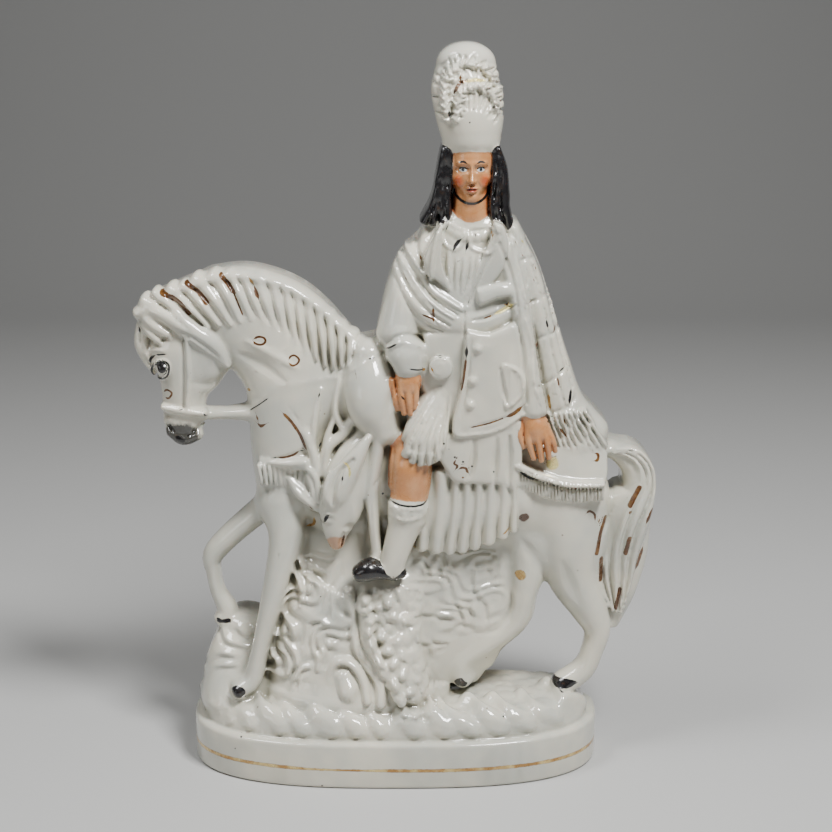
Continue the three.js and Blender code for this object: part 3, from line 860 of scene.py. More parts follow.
@dataclass
class Horse:
    """The standing horse: its body, legs, head, bridle, mane, tail and saddle blanket."""

    barrel: Stations = ((-154, 380, 3, 50, 40), (-97, 370, 0, 88, 50), (8, 360, 0, 93, 55),
        (128, 347, 0, 93, 55), (231, 341, 0, 83, 55), (288, 344, 0, 42, 45))
    neck: Stations = ((-167, 328, 0, 39, 45), (-160, 399, 0, 54, 51), (-155, 461, 0, 62, 51),
        (-154, 518, 0, 69, 48), (-174, 567, 0, 73, 42), (-217, 608, 0, 70, 37), (-276, 626, 0, 53, 31))
    head: Stations = ((-313, 602, -3, 47, 28), (-305, 569, -6, 56, 34), (-302, 534, -6, 53, 34),
        (-308, 504, -6, 37, 31), (-311, 478, -6, 31, 28), (-311, 453, -6, 31, 28),
        (-310, 436, -6, 22, 20))
    jowl: Stations = ((-277, 576, -6, 32, 34), (-273, 558, -6, 34, 35), (-274, 540, -6, 29, 31))
    lips: Stations = ((-330, 441, -14, 9, 16), (-312, 431, -16, 11, 17), (-290, 436, -14, 9, 15))
    withers: Stations = ((-104, 496, 2, 66, 36), (-40, 500, -4, 78, 44), (34, 506, -6, 82, 46))
    near_foreleg: Stations = ((-166, 332, -11, 42, 42), (-163, 280, -32, 26, 33),
        (-182, 196, -53, 18, 26), (-202, 118, -60, 13, 22), (-214, 70, -65, 15, 23),
        (-234, 55, -75, 14, 23))
    raised_foreleg: Stations = ((-171, 327, 6, 30, 37), (-207, 309, 6, 20, 28), (-273, 247, 6, 17, 23),
        (-277, 213, 6, 12, 20), (-271, 180, 6, 12, 20), (-258, 152, 5, 16, 21), (-266, 138, 2, 14, 20))
    near_hind_leg: Stations = ((251, 376, 0, 54, 54), (265, 283, -6, 60, 54), (272, 217, -11, 44, 45),
        (294, 166, -17, 30, 34), (308, 130, -20, 21, 27), (301, 95, -23, 17, 23), (288, 66, -25, 18, 23),
        (256, 43, -31, 19, 24))
    far_hind_leg: Stations = ((208, 273, 0, 46, 48), (196, 197, -14, 24, 37), (190, 156, -20, 20, 30),
        (168, 129, -25, 18, 25), (133, 107, -28, 17, 24), (105, 90, -34, 17, 23), (99, 70, -37, 14, 23),
        (104, 55, -39, 14, 23))
    hoof_ovals: Sequence[Oval] = ((-234, 57, 4, 3.2), (-262, 141, 4.2, 1.7), (100, 58, 3.6, 2.6),
        (257, 52, 7.2, 2.6))
    ear: Stations = ((-350, 624, -22, 7, 12), (-318, 612, -32, 14, 13), (-290, 594, -35, 16, 14),
        (-262, 572, -34, 15, 14), (-242, 543, -25, 5, 11))
    forelock: Paths = (((-372, 624, -8, 5, 12), (-352, 606, -22, 9, 13), (-324, 588, -31, 7, 9)),
        ((-370, 612, -6, 7, 14), (-354, 592, -20, 8, 13), (-338, 578, -28, 6, 9)),
        ((-370, 600, -2, 7, 14), (-372, 572, -4, 9, 16), (-362, 546, -6, 7, 14), (-352, 530, -8, 4, 9)),
        ((-364, 596, -8, 6, 12), (-364, 568, -12, 7, 12), (-356, 548, -14, 4, 9)))
    eye: Stations = ((-341, 546, -29, 8, 9), (-336, 539, -31, 10, 10), (-333, 531, -30, 7, 8))
    cheek_strap: Stations = ((-299, 586, -39, 4, 6), (-298, 536, -39, 4, 6), (-303, 482, -34, 4, 6))
    nose_band: Stations = ((-339, 480, -20, 6, 14), (-306, 476, -34, 6, 8), (-278, 472, -23, 6, 15))
    rein: Stations = ((-295, 465, -3, 12, 20), (-251, 466, -3, 10, 17), (-208, 468, -3, 15, 25))
    breast_strap: Stations = ((-195, 402, -34, 7, 11), (-160, 402, -49, 7, 11), (-130, 404, -52, 7, 11))
    breast_fringe: tuple[Curve, Curve] = (((-203, 398), (-165, 396), (-126, 386)), ((-198, 368),
        (-163, 366), (-130, 364)))
    mane_crest: Curve = ((-376, 626), (-331, 652), (-287, 670), (-244, 680), (-200, 677), (-157, 664),
        (-122, 642), (-89, 612), (-61, 584), (-38, 560))
    mane_foot: Curve = ((-322, 600), (-283, 592), (-243, 596), (-206, 600), (-180, 596), (-157, 582),
        (-137, 566), (-113, 548), (-84, 540), (-52, 546))
    mane_partings: Curves = (((-366, 624), (-348, 617), (-318, 601)), ((-358, 647), (-334, 631),
        (-309, 612), (-291, 597)), ((-334, 650), (-295, 621), (-272, 597)), ((-312, 659), (-287, 633),
        (-261, 604)), ((-298, 664), (-268, 638), (-241, 602)), ((-275, 673), (-250, 648), (-228, 604)),
        ((-248, 676), (-233, 656), (-214, 612)), ((-229, 679), (-213, 650), (-196, 611)), ((-208, 673),
        (-199, 653), (-178, 603)), ((-185, 672), (-176, 640), (-164, 595)), ((-165, 663), (-157, 627),
        (-149, 582)), ((-149, 655), (-142, 618), (-135, 568)), ((-132, 645), (-127, 605), (-120, 557)),
        ((-117, 636), (-111, 596), (-105, 545)), ((-102, 625), (-97, 586), (-94, 539)), ((-86, 611),
        (-83, 579), (-81, 540)), ((-70, 592), (-70, 569), (-71, 543)), ((-52, 585), (-58, 564),
        (-63, 548)), ((-40, 570), (-48, 558), (-56, 548)))
    tail_partings: Curves = (((322, 312), (310, 292), (300, 266), (299, 236), (306, 205), (328, 160)),
        ((326, 314), (323, 296), (316, 278), (312, 258), (311, 236), (316, 205), (331, 160)), ((330, 316),
        (333, 296), (329, 276), (325, 250), (323, 222), (327, 197), (334, 158)), ((320, 407), (339, 404),
        (352, 396), (361, 383), (359, 362), (350, 338), (339, 316), (332, 292), (326, 269), (323, 246),
        (323, 222), (327, 197), (334, 158)), ((323, 410), (346, 407), (365, 394), (374, 376), (371, 354),
        (360, 330), (349, 305), (343, 282), (340, 256), (341, 230), (341, 201), (339, 156)), ((326, 413),
        (352, 412), (374, 396), (383, 370), (381, 344), (371, 318), (361, 292), (354, 262), (351, 230),
        (350, 202), (343, 156)), ((330, 416), (360, 415), (382, 394), (389, 366), (388, 336), (383, 306),
        (374, 276), (366, 246), (362, 222), (357, 198), (347, 156)))
    tail: Stations = ((300, 414, 8, 15, 25), (332, 404, 8, 15, 25), (360, 379, 6, 22, 28),
        (366, 345, 3, 26, 31), (350, 312, 2, 38, 30), (343, 241, 2, 40, 30), (342, 184, 2, 26, 26),
        (334, 133, 3, 11, 20))
    blanket: Curve = ((176, 442), (210, 430), (262, 424), (308, 430), (309, 367), (271, 368), (242, 373),
        (210, 382), (180, 399))
    blanket_fringe: tuple[Curve, Curve] = (((178, 408), (210, 392), (242, 381), (271, 377),
        (308, 377)), ((182, 370), (222, 352), (262, 345), (308, 348)))
    blanket_tassels: int = 25
    breast_tassels: int = 10
    lines: Lines = ((1.2, -0.8, 0.5, (329, 327), (316, 302), (301, 268), (298, 236), (303, 207),
        (326, 165)), (4.5, -1.5, 0.6, (-223, 562), (-191, 547), (-158, 523)), (3.5, 1.2, 0.6, (-215, 582),
        (-174, 562), (-138, 541)), (1.3, 0.5, 0.3, (-209, 477), (-172, 514), (-138, 520), (-100, 525),
        (-79, 532), (-34, 558), (5, 586)), (1.6, -1, 0.4, (-180, 405), (-158, 411), (-133, 419)),
        (1.8, -1.3, 0.6, (-316, 600), (-288, 588), (-262, 568), (-246, 550)),
        (1.4, -1.1, 0.3, (-304, 586), (-305, 535), (-308, 481)), (1.2, -1.4, 0.5, (-300, 436),
        (-289, 449), (-273, 458)), (1.5, -1.6, 0, (-331, 452), (-326, 444)), (1.5, 0.8, 0.6, (-340, 456),
        (-333, 461), (-322, 458)), (2, 1, 0.7, (-362, 553), (-350, 566), (-328, 566)),
        (1.6, -1.2, 0.5, (-344, 575), (-320, 590)), (1, -0.9, 0.6, (-372, 586), (-364, 562)),
        (3, -0.9, 0.7, (-296, 520), (-268, 516), (-248, 530)), (1.6, 1.3, 0.2, (177, 403), (198, 390),
        (224, 381), (252, 373), (276, 372), (303, 372)), (0.9, -0.7, 0.2, (181, 394), (206, 380),
        (236, 371), (267, 366), (302, 367)), (1.4, 1, 0, (181, 404), (212, 389), (243, 379), (271, 375),
        (306, 374)), (5, -1.6, 0.7, (190, 281), (201, 264), (214, 240), (225, 214)),
        (5, -1.3, 0.7, (250, 250), (262, 215), (275, 185)), (5, -1.3, 0.7, (-150, 330), (-128, 300),
        (-100, 286)), (1.3, 0.8, 0, (-350, 547), (-355, 533), (-348, 522), (-337, 524), (-328, 533),
        (-326, 546), (-333, 553), (-350, 547)))
    soot_oval: Oval = (-314, 436, 9, 7)
    paint_depth: float = 5
    marks: Sequence[Mark] = (
        *painted(Tone.BROWN, (1.3, (-334, 650), (-311, 639), (-295, 622)), (1.2, (-298, 664), (-281, 652),
            (-269, 637)), (1.1, (-248, 676), (-239, 665), (-231, 653)), (0.3, (-231, 653), (-224, 636),
            (-217, 618)), (0.9, (-201, 661), (-194, 640)), (0.4, (-338, 502), (-332, 507), (-324, 503),
            (-330, 494), (-336, 495)), (0.45, (-203, 584), (-196, 588), (-188, 587), (-185, 582),
            (-190, 577), (-199, 578), (-203, 582)), (0.4, (-152, 555), (-149, 560), (-143, 561),
            (-137, 555), (-140, 549), (-147, 547), (-152, 552)), (0.8, (-201, 458), (-195, 455),
            (-186, 460)), (0.7, (-202, 470), (-199, 461)), (0.5, (-171, 410), (-161, 410), (-147, 414),
            (-139, 420)), (0.6, (293, 415), (299, 413), (298, 405), (292, 404)), (2.6, (191, 320)),
            (0.5, (283, 325), (288, 328), (296, 322), (297, 311)), (0.5, (305, 314), (302, 307)),
            (1.05, (364, 358), (350, 330)), (0.9, (351, 320)), (0.8, (386, 330), (374, 303)),
            (1.1, (351, 280), (346, 256)), (0.9, (374, 262), (363, 225)), (1, (340, 196), (335, 166)),
            (1, (314, 312), (306, 290), (301, 260)), (1.1, (309, 250), (310, 214))),
        *painted(Tone.GOLD, (0.8, (-208, 673), (-201, 661)), (0.8, (-213, 506)), (2.7, (188, 226)),
            (0.3, (307, 292), (302, 268))),
        *painted(Tone.BLACK, (2, (-339, 547), (-336, 540)), (0.42, (-348, 549), (-355, 534), (-349, 523),
            (-337, 524), (-328, 532), (-326, 546), (-333, 552)), (0.6, (-355, 544), (-355, 552),
            (-346, 559)), (0.3, (-346, 559), (-329, 562)), (0.6, (-371, 599), (-369, 588)),
            (0.2, (-212, 475), (-183, 498)), (0.22, (-37, 559), (-27, 561)), (0.35, (-11, 576), (5, 586)),
            (0.4, (-314, 479), (-308, 480)), (0.4, (-279, 474), (-275, 467)), (0.45, (-178, 409),
            (-171, 410)), (0.55, (-139, 420), (-132, 419)), (1, (-319, 435), (-311, 430)),
            (0.9, (-306, 436), (-300, 440)), (0.6, (183, 393), (196, 385), (207, 380)), (0.7, (221, 405),
            (225, 411), (233, 411))),
        *painted(Tone.PALE, (3.2, (232, 401))),
    )

    def body(self) -> list[Form]:
        """Body, neck, head and legs, softly melted together."""
        return [
            *limbs(5, self.barrel, flat=True), *limbs(6, self.neck, self.withers, flat=True),
            *limbs(4, self.head, self.jowl), *limbs(2.5, self.lips), *limbs(6, self.near_hind_leg),
            *limbs(4, self.far_hind_leg, self.near_foreleg, self.raised_foreleg), *limbs(2.5, self.rein),
        ]

    def mane(self) -> list[Form]:
        """The mass of the mane, its locks from parting to parting, and the roll along its crest."""
        return [
            *limbs(3, between(self.mane_crest, self.mane_foot, 2, 34), flat=True),
            *ridges(self.mane_partings, (-2, 24), (-8, 31), (-12, 28), fullness=0.6, tip=0.45, blend=0.8),
            *limbs(1.8, [(x + 4, z - 8, -5, 10, 24) for x, z in self.mane_crest[:-1]]),
        ]

    def trimmings(self) -> list[Form]:
        """Ear, forelock, eye, bridle, breast strap, mane, tail and blanket."""
        short, long = self.tail_partings[:3], self.tail_partings[3:]
        return [
            *self.mane(), *limbs(3, self.tail, flat=True),
            *ridges(short, (2, 22), (-6, 28), (-6, 24), 0.6, 0.7, blend=1.2, flat=True, count=9),
            *ridges(long, (0, 22), (-8, 31), (-6, 24), 0.6, 0.7, blend=1.2, flat=True, count=14),
            *limbs(1.2, self.ear), *limbs(0.8, *self.forelock, self.eye),
            *limbs(1, self.cheek_strap, self.nose_band, self.breast_strap),
            *locks(*self.breast_fringe, self.breast_tassels, -40, 13, fullness=0.5),
            Pad(self.blanket, -17.5, 22, rounding=1.5, blend=1.5, lean=(0.02, 0.32)),
            *locks(*self.blanket_fringe, self.blanket_tassels, -48, 20, fullness=0.58),
        ]

    def engrave(self, relief: Relief) -> None:
        """Partings of mane and tail, creases, the blanket's edge, and the head's finer parts."""
        relief.strokes(self.mane_partings[1:-1], 1.4, -1.3, 0.7)
        relief.draw(self.lines)

    def soot(self, points: Array) -> Array:
        """How far corners lie outside the sooty muzzle, in millimetres."""
        return oval(points, self.soot_oval, self.paint_depth)

    def hooves(self, points: Array) -> Array:
        """How far corners lie outside the black of the hooves, in millimetres."""
        return np.minimum.reduce([oval(points, hoof, self.paint_depth) for hoof in self.hoof_ovals])


@dataclass
class Face:
    """The rider's face: a calm one of common proportions, in thirds from the hat's rim to the chin."""

    middle: float = 110.0
    brow: float = 836.0
    eyes: float = 828.0
    eye_apart: float = 12.5
    nose_foot: float = 810.0
    mouth: float = 800.5
    chin: float = 787.0
    paint_depth: float = -8.0

    def egg(self) -> Limb:
        """The head, narrowing to the jaw."""
        rows = ((868, -16, 30, 31), (846, -18, 31, 34), (826, -18, 30, 34), (810, -19, 27, 32),
            (797, -22, 20, 27), (790, -24, 13, 21))
        return Limb([(self.middle, *row) for row in rows], blend=1.5)

    def features(self) -> list[Form]:
        """Chin, cheeks, brow, nose and lips."""
        x, brow, foot, lip = self.middle, self.brow, self.nose_foot, self.mouth
        return [
            *limbs(2.6, ((x - 3, self.chin + 1, -39, 9, 11), (x + 3, self.chin + 1, -39, 9, 11))),
            *limbs(2, *[((x + k * 17, 816, -37, 7, 9), (x + k * 15, 808, -36, 6, 9)) for k in (-1, 1)]),
            *limbs(
                1.5, ((x - 18, brow, -42, 3.5, 7), (x, brow + 1, -46, 3.5, 7), (x + 18, brow, -42, 3.5, 7)),
            ),
            Limb(
                ((x, brow - 2, -48, 3, 6), (x, 822, -52, 3.4, 7), (x, foot + 3, -56, 4.4, 8)), 1, cap=0.9,
            ),
            *limbs(0.7, ((x - 4.5, foot + 1.5, -51, 3.2, 6), (x + 4.5, foot + 1.5, -51, 3.2, 6))),
            *limbs(
                0.6, ((x - 7.5, lip + 0.8, -47, 2, 5), (x - 2.5, lip + 2.2, -49.5, 2.4, 6),
                      (x + 2.5, lip + 2.2, -49.5, 2.4, 6), (x + 7.5, lip + 0.8, -47, 2, 5)),
                ((x - 6, lip - 1.6, -47, 2, 5), (x, lip - 2.6, -49.5, 3, 6), (x + 6, lip - 1.6, -47, 2, 5)),
            ),
        ]

    def engrave(self, relief: Relief) -> None:
        """Sockets, eyeballs and lids, the line of the lips, and the hollows beside and below the nose."""
        x, z, lip = self.middle, self.eyes, self.mouth
        for side in (-1, 1):
            e = x + side * self.eye_apart
            relief.draw((
                (2.6, -1.3, 0, (e - 5, z + 1), (e + 5, z + 1)), (1.6, 1, 0, (e - 2, z), (e + 2, z)),
                (0.7, 0.5, 0, (e - 6, z), (e - 2.5, z + 3.4), (e + 2.5, z + 3.4), (e + 6, z)),
                (0.6, 0.28, 0, (e - 5, z - 1.5), (e, z - 3.4), (e + 5, z - 1.5)),
                (1, -0.35, 0.6, (x + side * 7, 812), (x + side * 12, 803)),
            ))
        relief.draw((
            (0.7, -0.3, 0, (x, self.nose_foot - 2), (x, lip + 4.5)),
            (0.55, -0.6, 0, (x - 8, lip), (x, lip), (x + 8, lip)),
            (1.3, -0.3, 0, (x - 4, lip - 6.5), (x + 4, lip - 6.5)),
        ))

    def marks(self) -> list[Mark]:
        """Brows, lids, pupils, the line of the mouth, nostrils, and the thin beard under the chin."""
        x, z, lip, foot = self.middle, self.eyes, self.mouth, self.nose_foot
        black, brown = [], []
        for side in (-1, 1):
            e = x + side * self.eye_apart
            black += [
                (0.42, (x + side * 6.5, self.brow + 0.5), (e - side * 0.5, self.brow + 3.6),
                 (x + side * 20, self.brow + 1.2)),
                (0.24, (e - 6, z + 0.2), (e - 2.5, z + 3), (e + 2.5, z + 3), (e + 6, z + 0.2)),
                (0.38, (e, z + 0.4)),
            ]
            brown.append((0.22, (x + side * 2.6, foot), (x + side * 4.4, foot + 0.4)))
        beard = ((-29, 806), (-24, 794), (-14, 784), (0, 780.5), (14, 784), (24, 794), (28, 810))
        black.append((0.6, *((x + right, up) for right, up in beard)))
        parting = ((-7.5, 0), (-2.5, 0.7), (0, 0), (2.5, 0.7), (7.5, 0))
        brown.append((0.24, *((x + right, lip + up) for right, up in parting)))
        return [*painted(Tone.BLACK, *black), *painted(Tone.BROWN, *brown)]

    def paint(self, points: Array) -> dict[str, Array]:
        """How far corners lie from the edges of the painted parts of the face, in millimetres.

        Args:
            points: the corners.

        Returns:
            For the whites, irises, lips and rouge, a distance that is less than nought inside.
        """
        def pair(apart: float, z: float, wide: float, high: float) -> Array:
            """The distance from two ovals, one on each side of the face."""
            return np.minimum(*[
                oval(points, (self.middle + x, z, wide, high), self.paint_depth) for x in (-apart, apart)
            ])

        return {
            "whites": pair(self.eye_apart, self.eyes, 2.1, 1.05),
            "irises": pair(self.eye_apart, self.eyes + 0.4, 0.85, 0.9),
            "lips": oval(points, (self.middle, self.mouth, 2.7, 1.15), self.paint_depth),
            "rouge": pair(19, 812, 3.2, 4.2),
        }


@dataclass
class Rider:
    """The rider in Highland dress: tall hat, coat, sash, plaid, kilt, hose and shoe."""

    torso: Stations = ((112, 744, -11, 64, 34), (109, 690, -14, 86, 45), (108, 605, -17, 84, 50),
        (112, 510, -17, 88, 52), (119, 420, -17, 80, 50))
    left_arm: Stations = ((50, 722, -9, 16, 28), (34, 698, -13, 24, 31), (19, 660, -20, 29, 34),
        (8, 592, -34, 34, 34))
    left_cuff: Stations = ((7, 596, -42, 22, 30), (16, 570, -49, 30, 35), (20, 549, -54, 24, 30))
    left_palm: Stations = ((18, 547, -56, 17, 18), (19, 532, -60, 20, 19), (19, 520, -62, 19, 17))
    left_fingers: Paths = (((-1, 530, -64, 5, 8), (1, 508, -66, 5, 9), (7, 488, -66, 4, 7)),
        ((9, 530, -68, 5.6, 9), (11, 504, -70, 5.6, 9), (15, 482, -68, 4.6, 8)), ((20, 530, -69, 5.6, 9),
        (21, 504, -71, 5.6, 9), (23, 482, -69, 4.6, 8)), ((31, 529, -67, 5.4, 9), (31, 508, -68, 5.4, 9),
        (29, 490, -67, 4.4, 8)))
    right_sleeve: Stations = ((159, 716, -17, 26, 37), (179, 640, -33, 19, 36), (188, 565, -42, 17, 32),
        (202, 485, -51, 20, 28))
    right_palm: Stations = ((196, 476, -56, 15, 17), (204, 462, -60, 20, 18), (209, 448, -62, 20, 16))
    right_fingers: Paths = (((184, 466, -60, 5, 8), (182, 448, -64, 5, 9), (188, 430, -64, 4, 7)),
        ((194, 464, -64, 5.4, 9), (195, 440, -68, 5.4, 9), (203, 414, -66, 4.4, 8)),
        ((204, 464, -66, 5.4, 9), (209, 440, -70, 5.4, 9), (214, 411, -67, 4.4, 8)),
        ((214, 462, -66, 5.2, 9), (221, 440, -69, 5.2, 9), (225, 414, -66, 4.2, 8)),
        ((222, 458, -64, 4.6, 8), (230, 440, -66, 4.6, 8), (234, 424, -64, 3.8, 7)))
    sash_upper: Curve = ((30, 716), (33, 704), (40, 688), (51, 668), (66, 654), (83, 643), (99, 634),
        (122, 636), (147, 643), (174, 655))
    sash_lower: Curve = ((14, 690), (6, 668), (11, 642), (24, 618), (45, 600), (70, 592), (99, 590),
        (130, 594), (155, 604), (176, 620))
    sash_y: Sequence[float] = (-13, -23, -33, -42, -48, -52, -54, -53, -48, -38)
    sash_depth: Sequence[float] = (24, 24, 23, 22, 20, 18, 17, 17, 17, 17)
    sash_end: Curve = ((117, 662), (136, 668), (160, 671), (172, 662), (170, 652), (146, 648), (124, 640),
        (117, 648))
    shirt_folds: Curves = (((74, 716), (73, 692), (76, 671)), ((86, 704), (85, 683), (83, 662)),
        ((97, 705), (94, 681), (91, 656)), ((108, 706), (105, 680), (97, 650)), ((118, 710), (111, 680),
        (102, 653)))
    shirt: Curve = ((66, 744), (60, 720), (56, 690), (56, 672), (76, 652), (99, 638), (108, 648),
        (117, 671), (129, 699), (140, 722), (146, 742), (128, 752), (106, 748), (84, 752))
    collar_lobes: Curves = (((72, 754), (69, 736), (74, 722), (88, 716), (98, 726), (102, 742),
        (90, 747)), ((104, 744), (108, 722), (122, 714), (136, 714), (144, 726), (146, 744), (130, 748)))
    coat_skirt: Curve = ((104, 606), (99, 527), (85, 455), (115, 449), (151, 455), (188, 480), (184, 545),
        (178, 612), (137, 600))
    coat_left: Curve = ((44, 596), (103, 598), (98, 520), (66, 509), (40, 513), (40, 560))
    pocket: Curve = ((156, 555), (172, 549), (184, 534), (183, 513), (172, 499), (162, 491), (158, 511),
        (153, 536))
    buttons: Curve = ((120, 579), (113, 532), (110, 497))
    buckle: Curve = (67, 549)
    apron: Curve = ((52, 428), (62, 450), (110, 452), (153, 458), (184, 470), (182, 372), (150, 374),
        (105, 376), (86, 379), (74, 397), (62, 418))
    apron_grooves: Curves = (((117, 444), (113, 404), (105, 381)), ((149, 444), (147, 410), (146, 378)),
        ((167, 448), (167, 410), (167, 373)))
    kilt_partings: Curves = (((40, 392), (36, 337), (31, 272)), ((57, 392), (54, 337), (50, 274)),
        ((82, 388), (79, 323), (72, 266)), ((99, 384), (96, 324), (91, 270)), ((116, 382), (114, 324),
        (109, 270)), ((133, 382), (130, 322), (128, 280)), ((150, 382), (151, 323), (150, 286)),
        ((168, 382), (170, 338), (169, 298)), ((182, 384), (183, 340), (182, 304)))
    kilt_mass: tuple[Curve, Curve] = (((40, 400), (90, 400), (134, 400), (180, 400)), ((28, 266),
        (82, 262), (140, 278), (182, 300)))
    thigh: Stations = ((68, 512, -46, 20, 22), (52, 474, -60, 29, 27), (45, 444, -68, 33, 28),
        (42, 424, -68, 29, 24))
    gathers: Curves = (((60, 512), (40, 484), (18, 446), (14, 430)), ((63, 510), (46, 482), (28, 446),
        (24, 420)), ((66, 510), (53, 480), (37, 446), (34, 414)), ((69, 508), (60, 478), (47, 446),
        (45, 412)), ((72, 508), (66, 478), (58, 446), (56, 414)), ((76, 506), (74, 478), (69, 452),
        (67, 424)))
    hem: Paths = (((19, 436, -80, 6, 9), (17, 424, -80, 6, 9)), ((29, 430, -86, 6, 9),
        (28, 417, -86, 6, 9)), ((40, 428, -88, 6, 9), (39, 413, -88, 6, 9)), ((51, 429, -88, 6, 9),
        (51, 414, -87, 6, 9)), ((62, 433, -84, 6, 9), (62, 419, -83, 6, 9)))
    knee: Stations = ((24, 436, -49, 24, 25), (25, 408, -62, 30, 27), (24, 374, -64, 28, 27),
        (20, 346, -66, 27, 25))
    knee_back: Stations = ((4, 436, -44, 8, 18), (2, 408, -54, 9, 18), (0, 370, -58, 8, 18))
    sock_cuff: Stations = ((20, 343, -67, 30, 29), (19, 324, -67, 29, 28))
    sock: Stations = ((19, 324, -68, 26, 25), (8, 291, -71, 22, 23), (-1, 260, -74, 19, 21),
        (-5, 245, -74, 18, 20))
    shoe: Stations = ((12, 241, -76, 8, 12), (0, 240, -77, 10, 14), (-15, 243, -80, 10, 15),
        (-36, 248, -83, 17, 21), (-52, 243, -83, 13, 18))
    neck: Stations = ((110, 794, -16, 24, 25), (110, 776, -18, 25, 27), (110, 762, -17, 27, 28))
    collar: Stations = ((72, 762, -22, 7, 9), (79, 746, -33, 11, 11), (94, 735, -39, 12, 12),
        (111, 732, -41, 12, 12), (128, 735, -39, 12, 12), (143, 746, -33, 11, 11), (150, 762, -22, 7, 9))
    collar_pleats: Curves = (((82, 756), (74, 742)), ((88, 748), (82, 730)), ((96, 745), (92, 722)),
        ((104, 743), (103, 722)), ((112, 742), (113, 722)), ((121, 743), (124, 724)), ((130, 746),
        (136, 728)), ((138, 752), (147, 738)))
    lapels: Curves = (((66, 752), (50, 724), (40, 696), (50, 680), (70, 664), (84, 650), (80, 672),
        (70, 700), (70, 726)), ((142, 756), (130, 722), (118, 692), (109, 664), (112, 650), (132, 662),
        (154, 688), (162, 716), (156, 748)))
    hair_left: Curves = (((69, 858), (61, 822), (56, 789), (46, 769), (37, 753)), ((73, 858), (67, 822),
        (62, 792), (55, 770), (50, 750)), ((77, 858), (73, 824), (68, 794), (64, 772), (62, 749)),
        ((80, 858), (79, 824), (75, 792), (73, 772), (74, 752)), ((84, 858), (84, 824), (82, 792),
        (82, 774), (82, 760)))
    hair_right: Curves = (((137, 858), (138, 824), (136, 792), (134, 774), (138, 756)), ((142, 858),
        (145, 826), (142, 792), (142, 772), (148, 748)), ((146, 858), (152, 828), (149, 796), (151, 772),
        (158, 745)), ((150, 858), (160, 832), (163, 800), (164, 775), (171, 744)))
    hair_behind: Stations = ((110, 860, 8, 36, 26), (108, 815, 8, 44, 26), (106, 750, 6, 58, 22))
    hat: Stations = ((102, 971, 2, 42, 38), (103, 938, -3, 50, 48), (107, 908, -6, 49, 52),
        (109, 886, -8, 46, 51), (110, 870, -11, 42, 46))
    plumes: Paths = (((77, 896, -44, 5, 9), (70, 924, -40, 8, 12), (75, 950, -34, 9, 13),
        (90, 968, -29, 9, 13), (112, 971, -29, 9, 12), (130, 960, -29, 7, 11), (142, 944, -28, 3, 8)),
        ((87, 896, -52, 4, 8), (90, 918, -50, 7, 10), (97, 935, -47, 9, 11), (112, 942, -45, 9, 11),
        (128, 939, -43, 8, 11), (139, 924, -40, 7, 10), (145, 906, -36, 4, 8)))
    fan: Curves = (((92, 905), (88, 918)), ((97, 908), (95, 928)), ((103, 910), (103, 934)), ((109, 911),
        (112, 936)), ((115, 910), (120, 935)), ((121, 909), (128, 931)), ((127, 906), (135, 923)),
        ((131, 900), (141, 910)))
    plaid_front: Curve = ((160, 748), (172, 680), (184, 613), (196, 554), (206, 487), (222, 428))
    plaid_back: Curve = ((180, 740), (213, 680), (235, 608), (255, 524), (281, 466), (322, 424))
    plaid_rows: Curves = (((176, 698), (190, 702), (206, 700)), ((187, 640), (205, 642), (220, 650)),
        ((202, 579), (213, 588), (234, 593), (239, 603)), ((201, 524), (219, 519), (238, 531),
        (249, 541)), ((223, 467), (239, 478), (255, 484), (265, 497)))
    plaid_columns: Curves = (((171, 720), (185, 677), (195, 627), (207, 573), (214, 539), (222, 502),
        (230, 468)), ((181, 725), (200, 679), (215, 628), (225, 578), (235, 539), (242, 507), (250, 481)),
        ((189, 728), (208, 691), (223, 642), (235, 596), (247, 552), (260, 510)))
    plaid_fringe: Curves = (((232, 459), (257, 424)), ((240, 463), (266, 425)), ((247, 467), (278, 427)),
        ((255, 470), (288, 432)), ((261, 475), (297, 440)), ((268, 483), (307, 440)))
    plaid_fringe_top: Curve = ((222, 474), (250, 476), (282, 478))
    plaid_fringe_foot: Curve = ((240, 424), (272, 416), (316, 424))
    plaid_tassels: int = 8
    face: Face = field(default_factory=Face)
